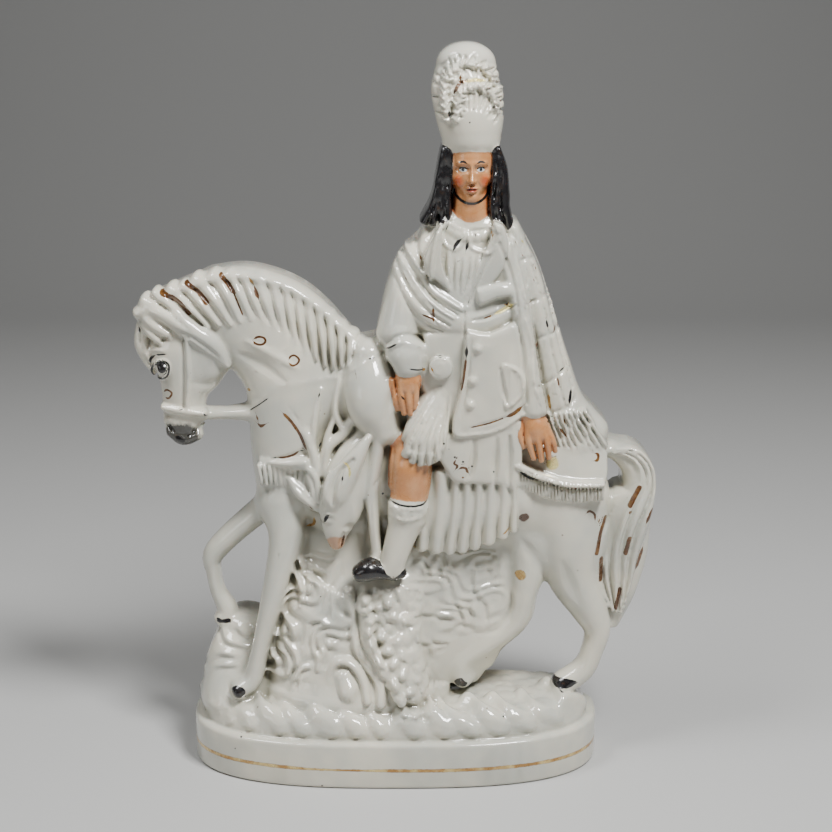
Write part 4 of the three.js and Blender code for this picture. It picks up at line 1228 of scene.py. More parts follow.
    lines: Lines = ((1.9, 1.5, 0.3, (62, 742), (57, 720), (53, 695), (52, 673)),
        (1.9, -1.9, 0.3, (40, 746), (34, 727), (33, 712), (42, 690)), (2.4, -2, 0.3, (36, 708),
        (42, 690)), (1.7, -1.5, 0.3, (148, 740), (140, 720), (129, 697), (117, 669), (106, 640)),
        (2.4, 1.9, 0.3, (11, 726), (31, 698), (53, 663), (74, 647), (99, 632)), (1.8, -1.8, 0.4, (8, 714),
        (24, 690), (44, 660), (66, 640), (92, 624)), (1.8, 1.2, 0.3, (2, 713), (17, 693), (40, 660),
        (62, 637), (86, 621)), (1.8, -1.6, 0.4, (4, 696), (14, 674), (30, 650), (54, 626), (80, 610)),
        (1.6, -1.2, 0.4, (2, 676), (12, 652), (26, 630), (46, 612), (70, 602)), (1.2, -1.2, 0, (100, 632),
        (100, 618), (100, 607)), (1.8, -1.5, 0.4, (112, 618), (127, 620), (142, 625), (158, 632),
        (174, 640)), (0.9, -0.5, 0.4, (46, 638), (56, 620), (66, 606)), (1.4, -0.9, 0, (100, 606),
        (101, 594)), (2, -2.8, 0.6, (152, 551), (154, 531), (158, 512), (163, 497)),
        (1.7, 1.3, 0, (104, 596), (99, 527), (86, 458), (115, 452), (151, 458), (186, 481)),
        (1, -0.7, 0.3, (110, 462), (136, 469), (160, 476), (186, 494)), (1.1, -0.9, 0.4, (110, 592),
        (105, 527), (95, 474)), (2.2, 1.6, 0.4, (187, 620), (199, 579), (202, 527), (222, 476)),
        (2.2, -1.6, 0.4, (174, 620), (185, 568), (191, 498)), (1.6, -1.5, 0.3, (-9, 584), (10, 597),
        (34, 592), (44, 584)), (1.6, 0.9, 0.3, (-9, 576), (10, 588), (34, 583), (44, 575)),
        (1, -0.5, 0.5, (-6, 572), (8, 580), (30, 574)), (1.6, -1.2, 0.4, (140, 744), (160, 700),
        (172, 660), (178, 620)), (0.9, -0.6, 0, (-11, 352), (-1, 352), (9, 349), (28, 348), (42, 348),
        (48, 351)), (1.2, 0.8, 0.3, (-8, 334), (18, 328), (46, 334)), (1.2, -1, 0.3, (0, 430), (-1, 400),
        (-2, 362)))
    thigh_cloth: Curve = ((60, 515), (20, 450), (14, 424), (70, 418), (78, 480), (76, 512))
    hair_sides: Curves = (((40, 856), (84, 858), (84, 760), (60, 745), (34, 752), (56, 800)), ((136, 858),
        (152, 858), (166, 800), (174, 746), (138, 752), (134, 800)))
    sock_top: Curve = ((-8, 350), (48, 350), (46, 330), (18, 324), (-8, 330))
    plaid_roll: Curve = ((163, 742), (176, 700), (188, 650), (199, 600), (206, 540), (216, 480))
    plaid_face: Curve = ((165, 735), (183, 735), (205, 690), (226, 640), (246, 570), (268, 500),
        (300, 455), (232, 452), (204, 520), (194, 590), (178, 660))
    plume_side: Curve = ((70, 900), (66, 940), (76, 962), (92, 970), (96, 956), (86, 944), (82, 920),
        (80, 900))
    marks: Sequence[Mark] = (
        *painted(Tone.PALE, (0.6, (99, 948), (112, 951), (129, 949)), (0.95, (142, 625), (158, 633),
            (171, 641)), (0.7, (181, 729), (185, 723))),
        *painted(Tone.BROWN, (0.45, (131, 941), (137, 938)), (0.65, (101, 951), (91, 945), (83, 931)),
            (0.45, (94, 958), (91, 951)), (0.7, (37, 708), (40, 698)), (0.9, (16, 678), (19, 672)),
            (0.35, (40, 626), (59, 619)), (0.5, (56, 637), (57, 615)), (0.3, (127, 620), (142, 625)),
            (0.5, (172, 728), (174, 723)), (0.5, (182, 709), (184, 705)), (0.5, (202, 690), (203, 685)),
            (0.5, (199, 673), (201, 669)), (0.6, (191, 641), (197, 640)), (0.55, (213, 543), (213, 538)),
            (0.3, (237, 528), (240, 514)), (0.55, (247, 468), (250, 458)), (0.3, (234, 602), (230, 592)),
            (0.4, (207, 581), (206, 572)), (0.4, (241, 454), (253, 438)), (0.55, (103, 566), (100, 541),
            (96, 517)), (0.3, (110, 463), (138, 469), (160, 477)), (0.85, (160, 477), (173, 483),
            (186, 494)), (0.45, (90, 415), (87, 408), (92, 405), (88, 398)), (0.5, (93, 399), (98, 402),
            (104, 401), (106, 396), (109, 391)), (0.5, (100, 387))),
        # The black strokes at (97, 732), (106, 728), (77, 749) and (115, 740), in the frill under the collar,
        # are painted shade in its folds, together with the brown lines painted there.
        *painted(Tone.BLACK, (0.6, (77, 911), (79, 898)), (0.35, (106, 894)), (0.8, (97, 732), (89, 724),
            (84, 714)), (0.65, (106, 728), (102, 714)), (0.55, (77, 749), (74, 742)), (0.35, (115, 740),
            (116, 734)), (0.6, (106, 641), (107, 646)), (0.5, (161, 639)), (0.6, (258, 510), (255, 487)),
            (0.45, (248, 542), (239, 536)), (0.4, (219, 613), (222, 600)), (0.3, (22, 551), (43, 546)),
            (0.7, (62, 566), (70, 566)), (0.75, (104, 584), (103, 566)), (0.35, (-5, 353), (14, 350),
            (39, 349), (48, 352)), (0.5, (-17, 356)), (0.45, (72, 441)), (0.35, (79, 430)),
            (0.45, (88, 418)), (0.55, (100, 411)), (0.5, (113, 402)), (0.45, (145, 394)), (0.3, (10, 511),
            (16, 503))),
        *painted(Tone.GOLD, (0.5, (139, 744), (139, 735)), (0.55, (224, 504), (228, 479)),
            (0.7, (43, 546)), (0.9, (53, 552), (57, 544)), (0.5, (27, 272), (36, 270)), (0.4, (44, 269),
            (51, 269)), (0.4, (159, 298), (170, 306))),
    )

    def skin(self) -> list[Form]:
        """The bare parts: face, neck, hands and knee."""
        return [
            *limbs(1.5, self.neck), self.face.egg(), *self.face.features(),
            *limbs(1, self.left_palm), *limbs(0.5, *self.left_fingers),
            *limbs(1, self.right_palm), *limbs(0.5, *self.right_fingers),
            *limbs(1, self.knee, self.knee_back),
        ]

    def hair(self) -> list[Form]:
        """The long hair: a mass behind the head, and locks down to each shoulder."""
        return [
            *limbs(1, self.hair_behind, flat=True),
            *ridges(self.hair_left, (-10, 26), (-10, 26), (-14, 24), fullness=0.62, tip=0.8, flat=True),
            *ridges(self.hair_right, (-10, 26), (-12, 28), (-16, 24), fullness=0.62, tip=0.8, flat=True),
        ]

    def coat(self) -> list[Form]:
        """Torso, arms, sash, coat and plaid."""
        return [
            *limbs(
                3, self.torso, self.left_arm, between(self.plaid_front, self.plaid_back, -4, 38), flat=True,
            ),
            *locks(
                self.plaid_fringe_top, self.plaid_fringe_foot, self.plaid_tassels, -20, 27, tip=1, blend=0.8,
                flat=True,
            ),
            *limbs(1.2, self.left_cuff), *limbs(1.5, self.right_sleeve), *limbs(0.8, self.collar),
            *[Pad(edge, -22.6, 0, rounding=1.6, crown=1, blend=0.8, lean=(0, -0.05)) for edge in self.lapels],
            Pad(self.coat_left, -22.2, 5, rounding=2.4, crown=0.8, blend=3.5),
            Pad(self.coat_skirt, -26.5, 0, rounding=1.6, crown=1.2, blend=0.8, lean=(0.1, -0.03)),
            Limb(between(self.sash_upper, self.sash_lower, self.sash_y, self.sash_depth), blend=0.8, cap=0.5),
            Pad(self.sash_end, -24.7, -10, rounding=2.6, crown=1.2, blend=1.2, lean=(0.10, 0.12)),
            Pad(ring(*self.buckle, 17), -27, -10, rounding=0.9, crown=0.8, blend=0.5),
        ]

    def kilt(self) -> list[Form]:
        """Pleats, the flat front of the kilt, and the gathered cloth over the thigh."""
        return [
            *limbs(1.5, between(*self.kilt_mass, -28, 38)),
            *ridges(self.kilt_partings, (-38, 32), (-39, 32), (-40, 31), fullness=0.6, blend=0.8),
            Pad(self.apron, -25.6, 0, rounding=2, crown=1, blend=0.8, lean=(0.04, 0)), *limbs(1, self.thigh),
        ]

    def hat_forms(self) -> list[Form]:
        """The tall hat and its two plumes."""
        return [*limbs(1, self.hat, flat=True), *limbs(1, *self.plumes)]

    def cloth(self) -> list[Form]:
        """All that is left white."""
        return [
            *self.coat(), *self.kilt(), *limbs(0.8, self.sock, self.sock_cuff), *limbs(1, *self.hem),
            *self.hat_forms(),
        ]

    def dark(self) -> list[Form]:
        """All that is painted black: hair and shoe."""
        return [*self.hair(), *limbs(0.8, self.shoe)]

    def forms(self) -> list[Form]:
        """All of the rider's forms, from the body outwards."""
        return [
            *self.coat(), *self.kilt(), *self.skin(), *limbs(1, *self.hem),
            *limbs(0.8, self.sock, self.sock_cuff), *self.dark(), *self.hat_forms(),
        ]

    def engrave(self, relief: Relief) -> None:
        """Folds, edges, buttons, pleats' shadows, and the hair's and the sock's rough skin."""
        self.face.engrave(relief)
        relief.patch(self.shirt, 1.2, None, -0.8)
        relief.patch(self.pocket, 1, None, 0.9)
        relief.strokes(self.shirt_folds, 1.6, -1.9, 0.5)
        relief.strokes(moved(self.shirt_folds, 5, 0), 1.6, 0.9, 0.5)
        relief.strokes(self.collar_pleats, 1.3, -1.3, 0.3)
        relief.strokes([(*lobe, lobe[0]) for lobe in self.collar_lobes], 1.5, 0.9)
        relief.strokes([(place,) for place in self.buttons], 3.3, 2.2)
        relief.strokes((self.pocket[:6], (*self.pocket[5:], self.pocket[0])), 1.9, 1.9, 0.3)
        edge = ring(*self.buckle, 13)
        relief.stroke((*edge, edge[0]), 0.9, -0.5)
        relief.strokes(self.apron_grooves, 2.8, -2.4, 0.5)
        relief.strokes(self.gathers, 1.9, -1.4, 0.3)
        relief.draw(self.lines)
        relief.patch(self.thigh_cloth, 2, pebbles(4.2, 43, 0.8), 0.9)
        relief.strokes(moved(self.gathers, 5, 0), 1.7, 1, 0.4)
        for seed, side in zip((41, 42), self.hair_sides):
            relief.patch(side, 1.5, pebbles(6.5, seed, 0.8), 0.5)
        self.engrave_plaid(relief)
        self.engrave_hat(relief)
        relief.patch(self.sock_top, 0.8, pebbles(2.1, 5), 0.75)

    def engrave_plaid(self, relief: Relief) -> None:
        """The plaid's front roll, its check and its coarse weave."""
        relief.stroke(self.plaid_roll, 2, 1.2, 0.3)
        relief.strokes((*self.plaid_rows, *self.plaid_columns), 1.3, -1.2, 0.2)
        relief.strokes(self.plaid_fringe, 1, -0.8, 0.4)
        relief.patch(self.plaid_face, 1.5, waves(2.1, -14, 8, 0.8), 0.22)

    def engrave_hat(self, relief: Relief) -> None:
        """The plumes' barbs and the hat's rim."""
        outer, inner = ([station[:2] for station in plume] for plume in self.plumes)
        for spine, *barbs in (
            (outer, 13, 23, 0.9, 1.2, -1.7), (outer, 9, 17, 0.6, 1.3, 1.3), (inner, 12, 19, 0.9, 1.1, -1.6),
            (inner, 9, 15, 0.6, 1.2, 1.2),
        ):
            relief.barbs(spine, *barbs)
        relief.strokes(self.fan, 1.3, -1.4, 0.4)
        relief.patch(self.plume_side, 1, pebbles(3.4, 11), 1.8)
        relief.stroke(((66, 900), (62, 935), (68, 966), (84, 984)), 1.6, -0.9, 0.5)


@dataclass
class Deer:
    """The deer: its body under the rider's hand, its hanging head with antlers, and a foreleg."""

    body: Stations = ((-38, 562, -24, 26, 30), (-34, 524, -38, 38, 38), (-30, 486, -46, 38, 38),
        (-16, 450, -44, 28, 30))
    head: Stations = ((-44, 444, -38, 16, 22), (-58, 410, -48, 28, 30), (-70, 372, -54, 34, 34),
        (-80, 332, -58, 32, 31), (-86, 300, -60, 20, 25), (-85, 282, -60, 12, 19))
    breast: Stations = ((-120, 398, -30, 20, 24), (-118, 366, -33, 20, 24), (-114, 336, -35, 16, 22))
    near_ear: Stations = ((-36, 448, -70, 5, 10), (-54, 418, -76, 13, 16), (-74, 386, -80, 20, 19),
        (-86, 360, -80, 19, 19), (-92, 338, -74, 12, 14))
    far_ear: Stations = ((-156, 380, -42, 5, 12), (-138, 358, -50, 11, 15), (-112, 334, -58, 5, 11))
    cords: Paths = (((-152, 394, -50, 4, 8), (-128, 396, -54, 5, 8), (-114, 378, -58, 5, 8),
        (-111, 346, -60, 4, 8)), ((-126, 386, -54, 4, 7), (-120, 366, -58, 4, 7), (-118, 346, -58, 3, 7)))
    foreleg: Stations = ((-24, 440, -46, 13, 24), (-35, 372, -50, 13, 25), (-34, 340, -52, 11, 24),
        (-30, 300, -54, 9, 23), (-27, 270, -56, 9, 22), (-28, 258, -57, 11, 22))
    antlers: Paths = (((-112, 384, -45, 8, 16), (-120, 420, -41, 8, 16), (-136, 456, -35, 8, 15),
        (-166, 506, -29, 5, 12)), ((-122, 420, -39, 6, 14), (-116, 464, -35, 6, 14),
        (-106, 510, -29, 4, 12)), ((-104, 386, -45, 8, 16), (-96, 424, -43, 8, 16),
        (-70, 450, -41, 8, 16), (-54, 486, -37, 7, 16), (-52, 540, -27, 4, 12)), ((-74, 450, -41, 6, 14),
        (-86, 480, -35, 5, 13), (-80, 526, -29, 4, 12)), ((-104, 410, -41, 5, 13), (-98, 440, -39, 5, 13),
        (-86, 470, -35, 4, 12)))
    foreleg_grooves: Curves = (((-21, 383), (-33, 368), (-34, 355), (-33, 320), (-30, 288), (-28, 271)),
        ((-45, 352), (-41, 325), (-42, 296), (-44, 265)))
    lines: Lines = ((3.6, -3.6, 0.5, (-58, 418), (-76, 396), (-86, 372), (-88, 352)),
        (1.7, 2, 0.5, (-68, 404), (-79, 384), (-84, 362)), (0.8, -1, 0.5, (-75, 402), (-78, 382)),
        (1.5, 1.1, 0.4, (-78, 424), (-94, 398), (-101, 374), (-98, 350)), (1.3, -1.2, 0.5, (-146, 371),
        (-133, 358), (-120, 344)), (2.2, 1, 0, (-99, 324)), (1.1, 0.9, 0.4, (-109, 328), (-100, 336),
        (-88, 333)), (0.9, -0.7, 0.4, (-108, 319), (-99, 315), (-90, 319)), (1, -1, 0.4, (-74, 306),
        (-80, 286)), (3, -1, 0.6, (-56, 310), (-65, 314), (-76, 313)), (3, 0.9, 0.6, (-60, 350),
        (-57, 326), (-64, 306)), (1, -0.8, 0.5, (-128, 440), (-140, 466), (-154, 488)),
        (3, -1, 0.6, (-8, 560), (2, 530), (-6, 500), (-14, 470)))
    nose: Curve = (-86, 287)
    paint_depth: float = -14
    marks: Sequence[Mark] = (
        *painted(Tone.BROWN, (0.7, (-162, 478), (-150, 465), (-137, 444), (-128, 419)), (0.7, (-55, 540),
            (-54, 536)), (0.5, (-73, 302), (-78, 280)), (0.55, (-124, 341), (-118, 330))),
        *painted(Tone.BLACK, (0.55, (-108, 506), (-110, 498)), (0.4, (-111, 422), (-107, 430)),
            (0.45, (-103, 320), (-99, 330), (-93, 335)), (0.3, (-103, 320), (-95, 331)), (0.4, (-73, 396),
            (-75, 387))),
        *painted(Tone.PALE, (0.5, (-73, 415), (-64, 405), (-64, 393))),
        *painted(Tone.GOLD, (0.6, (-120, 313), (-121, 300), (-133, 296))),
    )

    def forms(self) -> list[Form]:
        """All of the deer's forms."""
        return [
            *limbs(3, self.body), *limbs(2, self.head), *limbs(2.5, self.breast), *limbs(1.5, self.foreleg),
            *limbs(0.8, *self.cords), *limbs(1, *self.antlers), *limbs(1.2, self.near_ear),
            *limbs(0.8, self.far_ear),
        ]

    def engrave(self, relief: Relief) -> None:
        """Hollows of the ears, eye, mouth, cheek, and the antlers' grooves."""
        relief.strokes(self.foreleg_grooves, 1.4, -0.9, 0.5)
        relief.draw(self.lines)

    def muzzle(self, points: Array) -> Array:
        """How far corners lie outside the flesh-coloured muzzle, in millimetres."""
        (x, z), = plan((self.nose,))
        r = np.hypot((points[:, 0] - x) / 5.2, (points[:, 2] - z) / 4.6)
        return np.where(points[:, 1] < self.paint_depth, (r - 1) * 4, FAR)


@dataclass
class Thicket:
    """The rock and plants under the horse, with roots that run down to the ground."""

    stump: Stations = ((10, 292, -8, 160, 38), (6, 225, -14, 186, 42), (-8, 165, -20, 184, 48),
        (-52, 105, -30, 142, 58), (-56, 45, -44, 140, 78))
    left_rock: Stations = ((-226, 124, -4, 36, 28), (-230, 104, -10, 48, 36), (-234, 72, -14, 58, 46),
        (-238, 26, -22, 62, 66))
    bark: Stations = ((-4, 214, -46, 38, 26), (0, 170, -56, 38, 30), (6, 110, -72, 38, 34),
        (12, 66, -84, 34, 34))
    roots: Paths = (((-66, 206, -62, 7, 14), (-62, 165, -68, 8, 14), (-56, 128, -80, 8, 14),
        (-38, 101, -90, 9, 14), (-22, 78, -102, 8, 14), (-20, 50, -116, 8, 14)), ((-48, 196, -66, 8, 16),
        (-44, 166, -74, 9, 16), (-40, 136, -84, 9, 16), (-24, 108, -92, 9, 16), (-4, 82, -104, 8, 14),
        (8, 56, -116, 7, 14)), ((-98, 60, -88, 6, 13), (-98, 84, -86, 7, 14), (-84, 106, -86, 7, 14),
        (-62, 102, -90, 7, 14), (-46, 80, -100, 7, 14), (-40, 54, -114, 7, 14)))
    knob: Stations = ((-77, 84, -90, 15, 18), (-70, 68, -100, 17, 22), (-66, 56, -106, 12, 16))
    leaves: Curves = (((-180, 135), (-162, 130), (-149, 113), (-144, 92), (-152, 72)), ((-188, 111),
        (-177, 98), (-177, 83)), ((-174, 116), (-160, 105), (-161, 81)), ((-163, 165), (-152, 150),
        (-149, 133)), ((-146, 225), (-137, 201), (-141, 183)), ((-126, 234), (-126, 221), (-128, 204)),
        ((-121, 234), (-113, 237), (-104, 233)), ((-142, 252), (-135, 238)), ((-163, 160), (-167, 138)),
        ((-115, 92), (-113, 109), (-100, 128), (-84, 135)), ((-126, 162), (-110, 165), (-100, 161)),
        ((-89, 194), (-79, 205), (-66, 210)))
    left_mound: Curves = (((-270, 123), (-260, 110), (-239, 106), (-221, 101)), ((-244, 129), (-234, 119),
        (-214, 115)), ((-293, 72), (-270, 91), (-246, 92)), ((-301, 49), (-274, 73), (-242, 79)))
    lumps: Curve = ((-43, 199), (-10, 196), (7, 208), (-33, 172), (-2, 174), (-38, 155), (-20, 148),
        (-33, 138), (-10, 128), (3, 143), (-2, 111), (13, 124), (-20, 110), (11, 95), (-48, 186),
        (18, 172), (1, 82), (26, 70), (-28, 188))
    swirls: Curves = (((22, 239), (29, 250), (40, 252), (49, 239), (49, 222), (38, 216), (24, 220)),
        ((33, 241), (40, 233), (35, 224)), ((60, 255), (67, 242), (67, 223)), ((77, 248), (81, 232),
        (74, 214)), ((150, 253), (134, 247), (118, 233), (115, 208), (123, 190), (135, 177)), ((155, 241),
        (151, 218), (144, 199)), ((136, 235), (144, 225), (139, 212)), ((111, 183), (114, 168),
        (128, 151)), ((128, 184), (137, 170), (136, 142)), ((174, 193), (175, 172), (159, 142),
        (133, 133), (109, 134)), ((22, 209), (45, 198), (67, 202), (84, 209)), ((17, 172), (38, 168),
        (61, 164), (84, 159)), ((26, 140), (47, 120), (65, 126)), ((49, 117), (54, 96)), ((88, 148),
        (104, 148), (118, 138)), ((84, 190), (95, 175), (100, 157)))
    column: Curve = ((-52, 214), (-20, 220), (40, 214), (46, 176), (40, 132), (56, 80), (66, 36),
        (10, 34), (-10, 66), (-30, 104), (-44, 150))
    right_mass: Curve = ((20, 262), (80, 268), (150, 262), (160, 230), (172, 190), (160, 146), (130, 130),
        (90, 128), (60, 90), (50, 130), (50, 176), (44, 214))
    legs: Curves = (((-163, 280), (-182, 196), (-202, 118), (-214, 74), (-232, 58)), ((-277, 213),
        (-271, 180), (-258, 152)))
    lines: Lines = ((1.2, -0.9, 0.2, (22, 84), (40, 63)), (0.9, 0.6, 0.2, (28, 88), (46, 66)),
        (0.9, -1.2, 0.3, (-58, 150), (-54, 124), (-46, 108), (-30, 92), (-20, 72)))
    left_mass: Curve = ((-210, 150), (-150, 250), (-90, 262), (-60, 200), (-66, 120), (-110, 110),
        (-140, 60), (-200, 60))
    marks: Sequence[Mark] = (
        *painted(Tone.BLACK, (0.45, (-224, 48)), (0.4, (-228, -1)), (0.4, (-238, -21)),
            (0.45, (-107, -66)), (0.35, (-110, 199)), (0.3, (161, 32))),
        *painted(Tone.GOLD, (0.4, (183, 32))),
    )

    def forms(self) -> list[Form]:
        """The mass of the thicket and its roots."""
        return [
            *limbs(4, self.stump, self.left_rock, flat=True), *limbs(4, self.bark),
            *limbs(1.2, *self.roots, self.knob),
        ]

    def engrave(self, relief: Relief) -> None:
        """Leaves, lumps, whorls and crusty ground."""
        relief.strokes(self.leaves, 2.6, 2, 0.4)
        relief.strokes(moved(self.leaves, -7, -3), 2.4, -0.9, 0.5)
        relief.strokes(self.left_mound, 2.8, -1.3, 0.5)
        relief.strokes(moved(self.left_mound, 6, 7), 2.8, 1.1, 0.5)
        relief.strokes([(lump,) for lump in self.lumps], 4.2, 3)
        relief.patch(self.column, 2.5, pebbles(5.2, 3, 0.8), 2.2)
        relief.patch(self.column, 2, pebbles(1.7, 4, 0.7), 0.5)
        relief.strokes(self.swirls, 2.2, -1, 0.5)
        relief.strokes(moved(self.swirls, 6, 5), 2.6, 0.8, 0.6)
        relief.patch(self.right_mass, 3, waves(8.5, 62, 21, 3), 0.7)
        relief.patch(self.left_mass, 3, waves(9, -28, 22, 2.2), 0.9)
        relief.draw(self.lines)
        for leg in self.legs:
            relief.spare(leg, 5.2)


@dataclass
class Base:
    """The base: a plain band with a rounded plan, and the rocky ground on it."""

    length: float = 220.0
    front: float = 55.0
    back: float = 28.0
    squareness: float = 2.7
    rounding: float = 2.0
    inset: float = 5.4
    rise: float = 12.5
    shoulder: float = 14.0
    rock_span: Pair = (-268.0, 262.0)
    rock_count: int = 14
    ledge: Curve = ((-300, 40), (-270, 8), (-180, 2), (0, 2), (200, 6), (290, 20), (290, 38), (0, 36),
        (-240, 50))
    crust: float = 1.0

    def side(self, x: Array, y: Array) -> Array:
        """How far places lie outside the plan: its own radius less one, over that radius's slope.

        Args:
            x: places, in millimetres.
            y: places.

        Returns:
            The distance, less than nought inside.
        """
        p = self.squareness
        a, b = self.length / 2, np.where(y < 0, self.front, self.back)
        u, v = np.abs(x) / a + 1e-6, np.abs(y) / b + 1e-6
        r = (u**p + v**p) ** (1 / p)
        slope = r ** (1 - p) * np.hypot(u ** (p - 1) / a, v ** (p - 1) / b)
        return (r - 1) / np.maximum(slope, 1e-4)

    def field(self, clay: Clay) -> tuple[Array, tuple[slice, ...]]:
        """The base's distance on the grid.

        Args:
            clay: the grid.

        Returns:
            The distance and the part of the grid it covers.
        """
        part = clay.window(np.array([[-125, -60, -3], [125, 31, 46]]))
        x, y, z = clay.place(part)
        side = self.side(x, y)
        r = self.rounding
        a, b = side + r, np.maximum(z - BAND_HEIGHT, -z) + r
        band = np.hypot(np.maximum(a, 0), np.maximum(b, 0)) + np.minimum(np.maximum(a, b), 0) - r
        depth = np.clip((-side - self.inset) / self.shoulder, 0, 1)
        top = BAND_HEIGHT + self.rise * np.sqrt(1 - (1 - depth) ** 2)
        flat = np.broadcast_arrays(x, y)
        lumps = np.maximum(pebbles(7.5, 33)(*flat), 0) + 0.3 * np.maximum(pebbles(2.6, 34)(*flat), 0)
        top = top + self.crust * (lumps - 0.5) * smoothstep(0.05, 0.5, depth)
        ground = np.maximum((z - top) * 0.7, side + self.inset)
        ground = np.maximum(ground, BAND_HEIGHT - 4 - z)
        return melt(band, ground, 1.0), part

    def rim(self, x: float, inset: float) -> float:
        """How far forward the plan's edge lies at x, in thousandths, less an inset in millimetres."""
        a, b = self.length / 2 - inset, self.front - inset
        return -b * (1 - min(abs(x) * UNIT / a, 0.995) ** self.squareness) ** (1 / self.squareness) / UNIT

    def rocks(self) -> list[Form]:
        """Rounded rocks along the front edge, which lean to the right down to the band."""
        random = np.random.default_rng(17)
        out: list[Form] = []
        for x in np.linspace(*self.rock_span, self.rock_count):
            dx, size, lean = random.uniform((-6, 0.75, 16), (6, 1.3, 44))
            x += dx
            high, low = x - lean / 2, x + lean / 2
            out += limbs(0.9, (
                (high - 14, 35, self.rim(high, 26), 12 * size, 14),
                (high, 27, self.rim(high, 14), 18 * size, 16), (low, 13, self.rim(low, 9.8), 16 * size, 17),
                (low + 5, 3, self.rim(low, 10.6), 7 * size, 14),
            ))
        return out

    def engrave(self, relief: Relief) -> None:
        """The rough skin of the rocks."""
        relief.patch(self.ledge, 2.0, pebbles(3.4, 32, 0.7), 0.45)
        relief.clear_below(BAND_HEIGHT + 2.0, 2.5)


@dataclass
class Brushwork:
    """The painted marks as values at the corners of the mesh."""

    marks: list[Mark]
    reach: float = 12.0
    spread: float = 0.12
    broad: float = 1.1
    facing: float = -0.12
    far: float = 9.0

    def values(self, points: Array, normals: Array) -> dict[str, Array]:
        """Where each corner lies from the nearest mark.

        Args:
            points: corners in millimetres.
            normals: their directions.

        Returns:
            Its place across the mark and beyond its end, over the half width, its distance outside the mark
            in millimetres, and the mark's tone.
        """
        across, past, near = np.full((3, len(points)), self.far)
        tone = np.zeros(len(points))
        facing = normals[:, 1] < self.facing
        x, z = points[:, 0], points[:, 2]
        for mark in self.marks:
            line, half = mark.line(), mark.width + self.spread
            low, high = line.min(axis=0) - half - self.reach, line.max(axis=0) + half + self.reach
            chosen = np.flatnonzero(facing & (x > low[0]) & (x < high[0]) & (z > low[1]) & (z < high[1]))
            if not len(chosen):
                continue
            track = Track(line)
            aside, beyond, _, share = track.nearest(x[chosen], z[chosen])
            over = np.where(beyond > 0, beyond, -np.minimum(share, 1 - share) * track.length.sum())
            if len(mark.points) == 1 or half > self.broad:
                aside, over = np.hypot(aside, np.maximum(beyond, 0)), np.full_like(over, -self.far * half)
            outside = np.hypot(aside, np.maximum(over, 0)) - half
            better = outside < near[chosen]
            at = chosen[better]
            near[at], across[at], past[at] = outside[better], aside[better] / half, over[better] / half
            tone[at] = mark.tone.value
        return {"mark_across": across, "mark_past": past, "mark_near": near, "mark_tone": tone}


def shown(name: str, data: bpy.types.ID) -> bpy.types.Object:
    """Puts data into the scene as an object."""
    made = bpy.data.objects.new(name, data)
    bpy.context.scene.collection.objects.link(made)
    return made


def smooth_mesh(name: str, points: Array, faces: list[list[int]]) -> bpy.types.Mesh:
    """Makes a smoothly shaded mesh."""
    data = bpy.data.meshes.new(name)
    data.from_pydata(points.tolist(), [], faces)
    data.polygons.foreach_set("use_smooth", np.ones(len(faces), bool))
    return data


def corner_normals(points: Array, faces: Array) -> Array:
    """The surface's direction at each corner: the sum of its triangles' cross products, made one long."""
    a, b, c = (points[faces[:, i]] for i in range(3))
    cross = np.cross(b - a, c - a)
    total = np.stack([
        sum(np.bincount(faces[:, i], cross[:, k], len(points)) for i in range(3)) for k in range(3)
    ], axis=1)
    return total / np.maximum(np.linalg.norm(total, axis=1, keepdims=True), 1e-12)


def split_long(points: Array, faces: Array, wanted: Array) -> tuple[Array, Array]:
    """Halves each edge longer than is wanted at one of its ends.

    A triangle with one halved edge becomes two triangles, with two three, and with three four.

    Args:
        points: the corners.
        faces: three corners each.
        wanted: the longest edge wanted at each corner.

    Returns:
        The corners and the triangles.
    """
    total = len(points)
    sides = np.stack([faces, np.roll(faces, -1, axis=1)], axis=-1).reshape(-1, 2)
    low, high = sides.min(axis=1), sides.max(axis=1)
    names, number = np.unique(low.astype(np.int64) * total + high, return_inverse=True)
    a, b = names // total, names % total
    long = np.linalg.norm(points[a] - points[b], axis=1) > np.minimum(wanted[a], wanted[b])
    middle = np.full(len(names), -1)
    middle[long] = total + np.arange(long.sum())
    middle = middle[number].reshape(-1, 3)
    cut = middle >= 0
    out = [faces[~cut.any(axis=1)]]
    whole = cut.all(axis=1)
    (a0, b0, c0), (p, q, r) = faces[whole].T, middle[whole].T
    out += [np.stack(t, axis=1) for t in ((a0, p, r), (p, b0, q), (r, q, c0), (p, q, r))]
    for turn in range(3):
        order = (np.arange(3) + turn) % 3
        face, mid, here = faces[:, order], middle[:, order], cut[:, order]
        one = here[:, 0] & ~here[:, 1] & ~here[:, 2]
        (u, v, w), m = face[one].T, mid[one, 0]
        out += [np.stack(t, axis=1) for t in ((u, m, w), (m, v, w))]
        two = here[:, 0] & here[:, 1] & ~here[:, 2]
        (u, v, w), m, n = face[two].T, mid[two, 0], mid[two, 1]
        out += [np.stack(t, axis=1) for t in ((m, v, n), (u, m, n), (u, n, w))]
    return np.vstack([points, (points[a[long]] + points[b[long]]) / 2]), np.vstack(out)


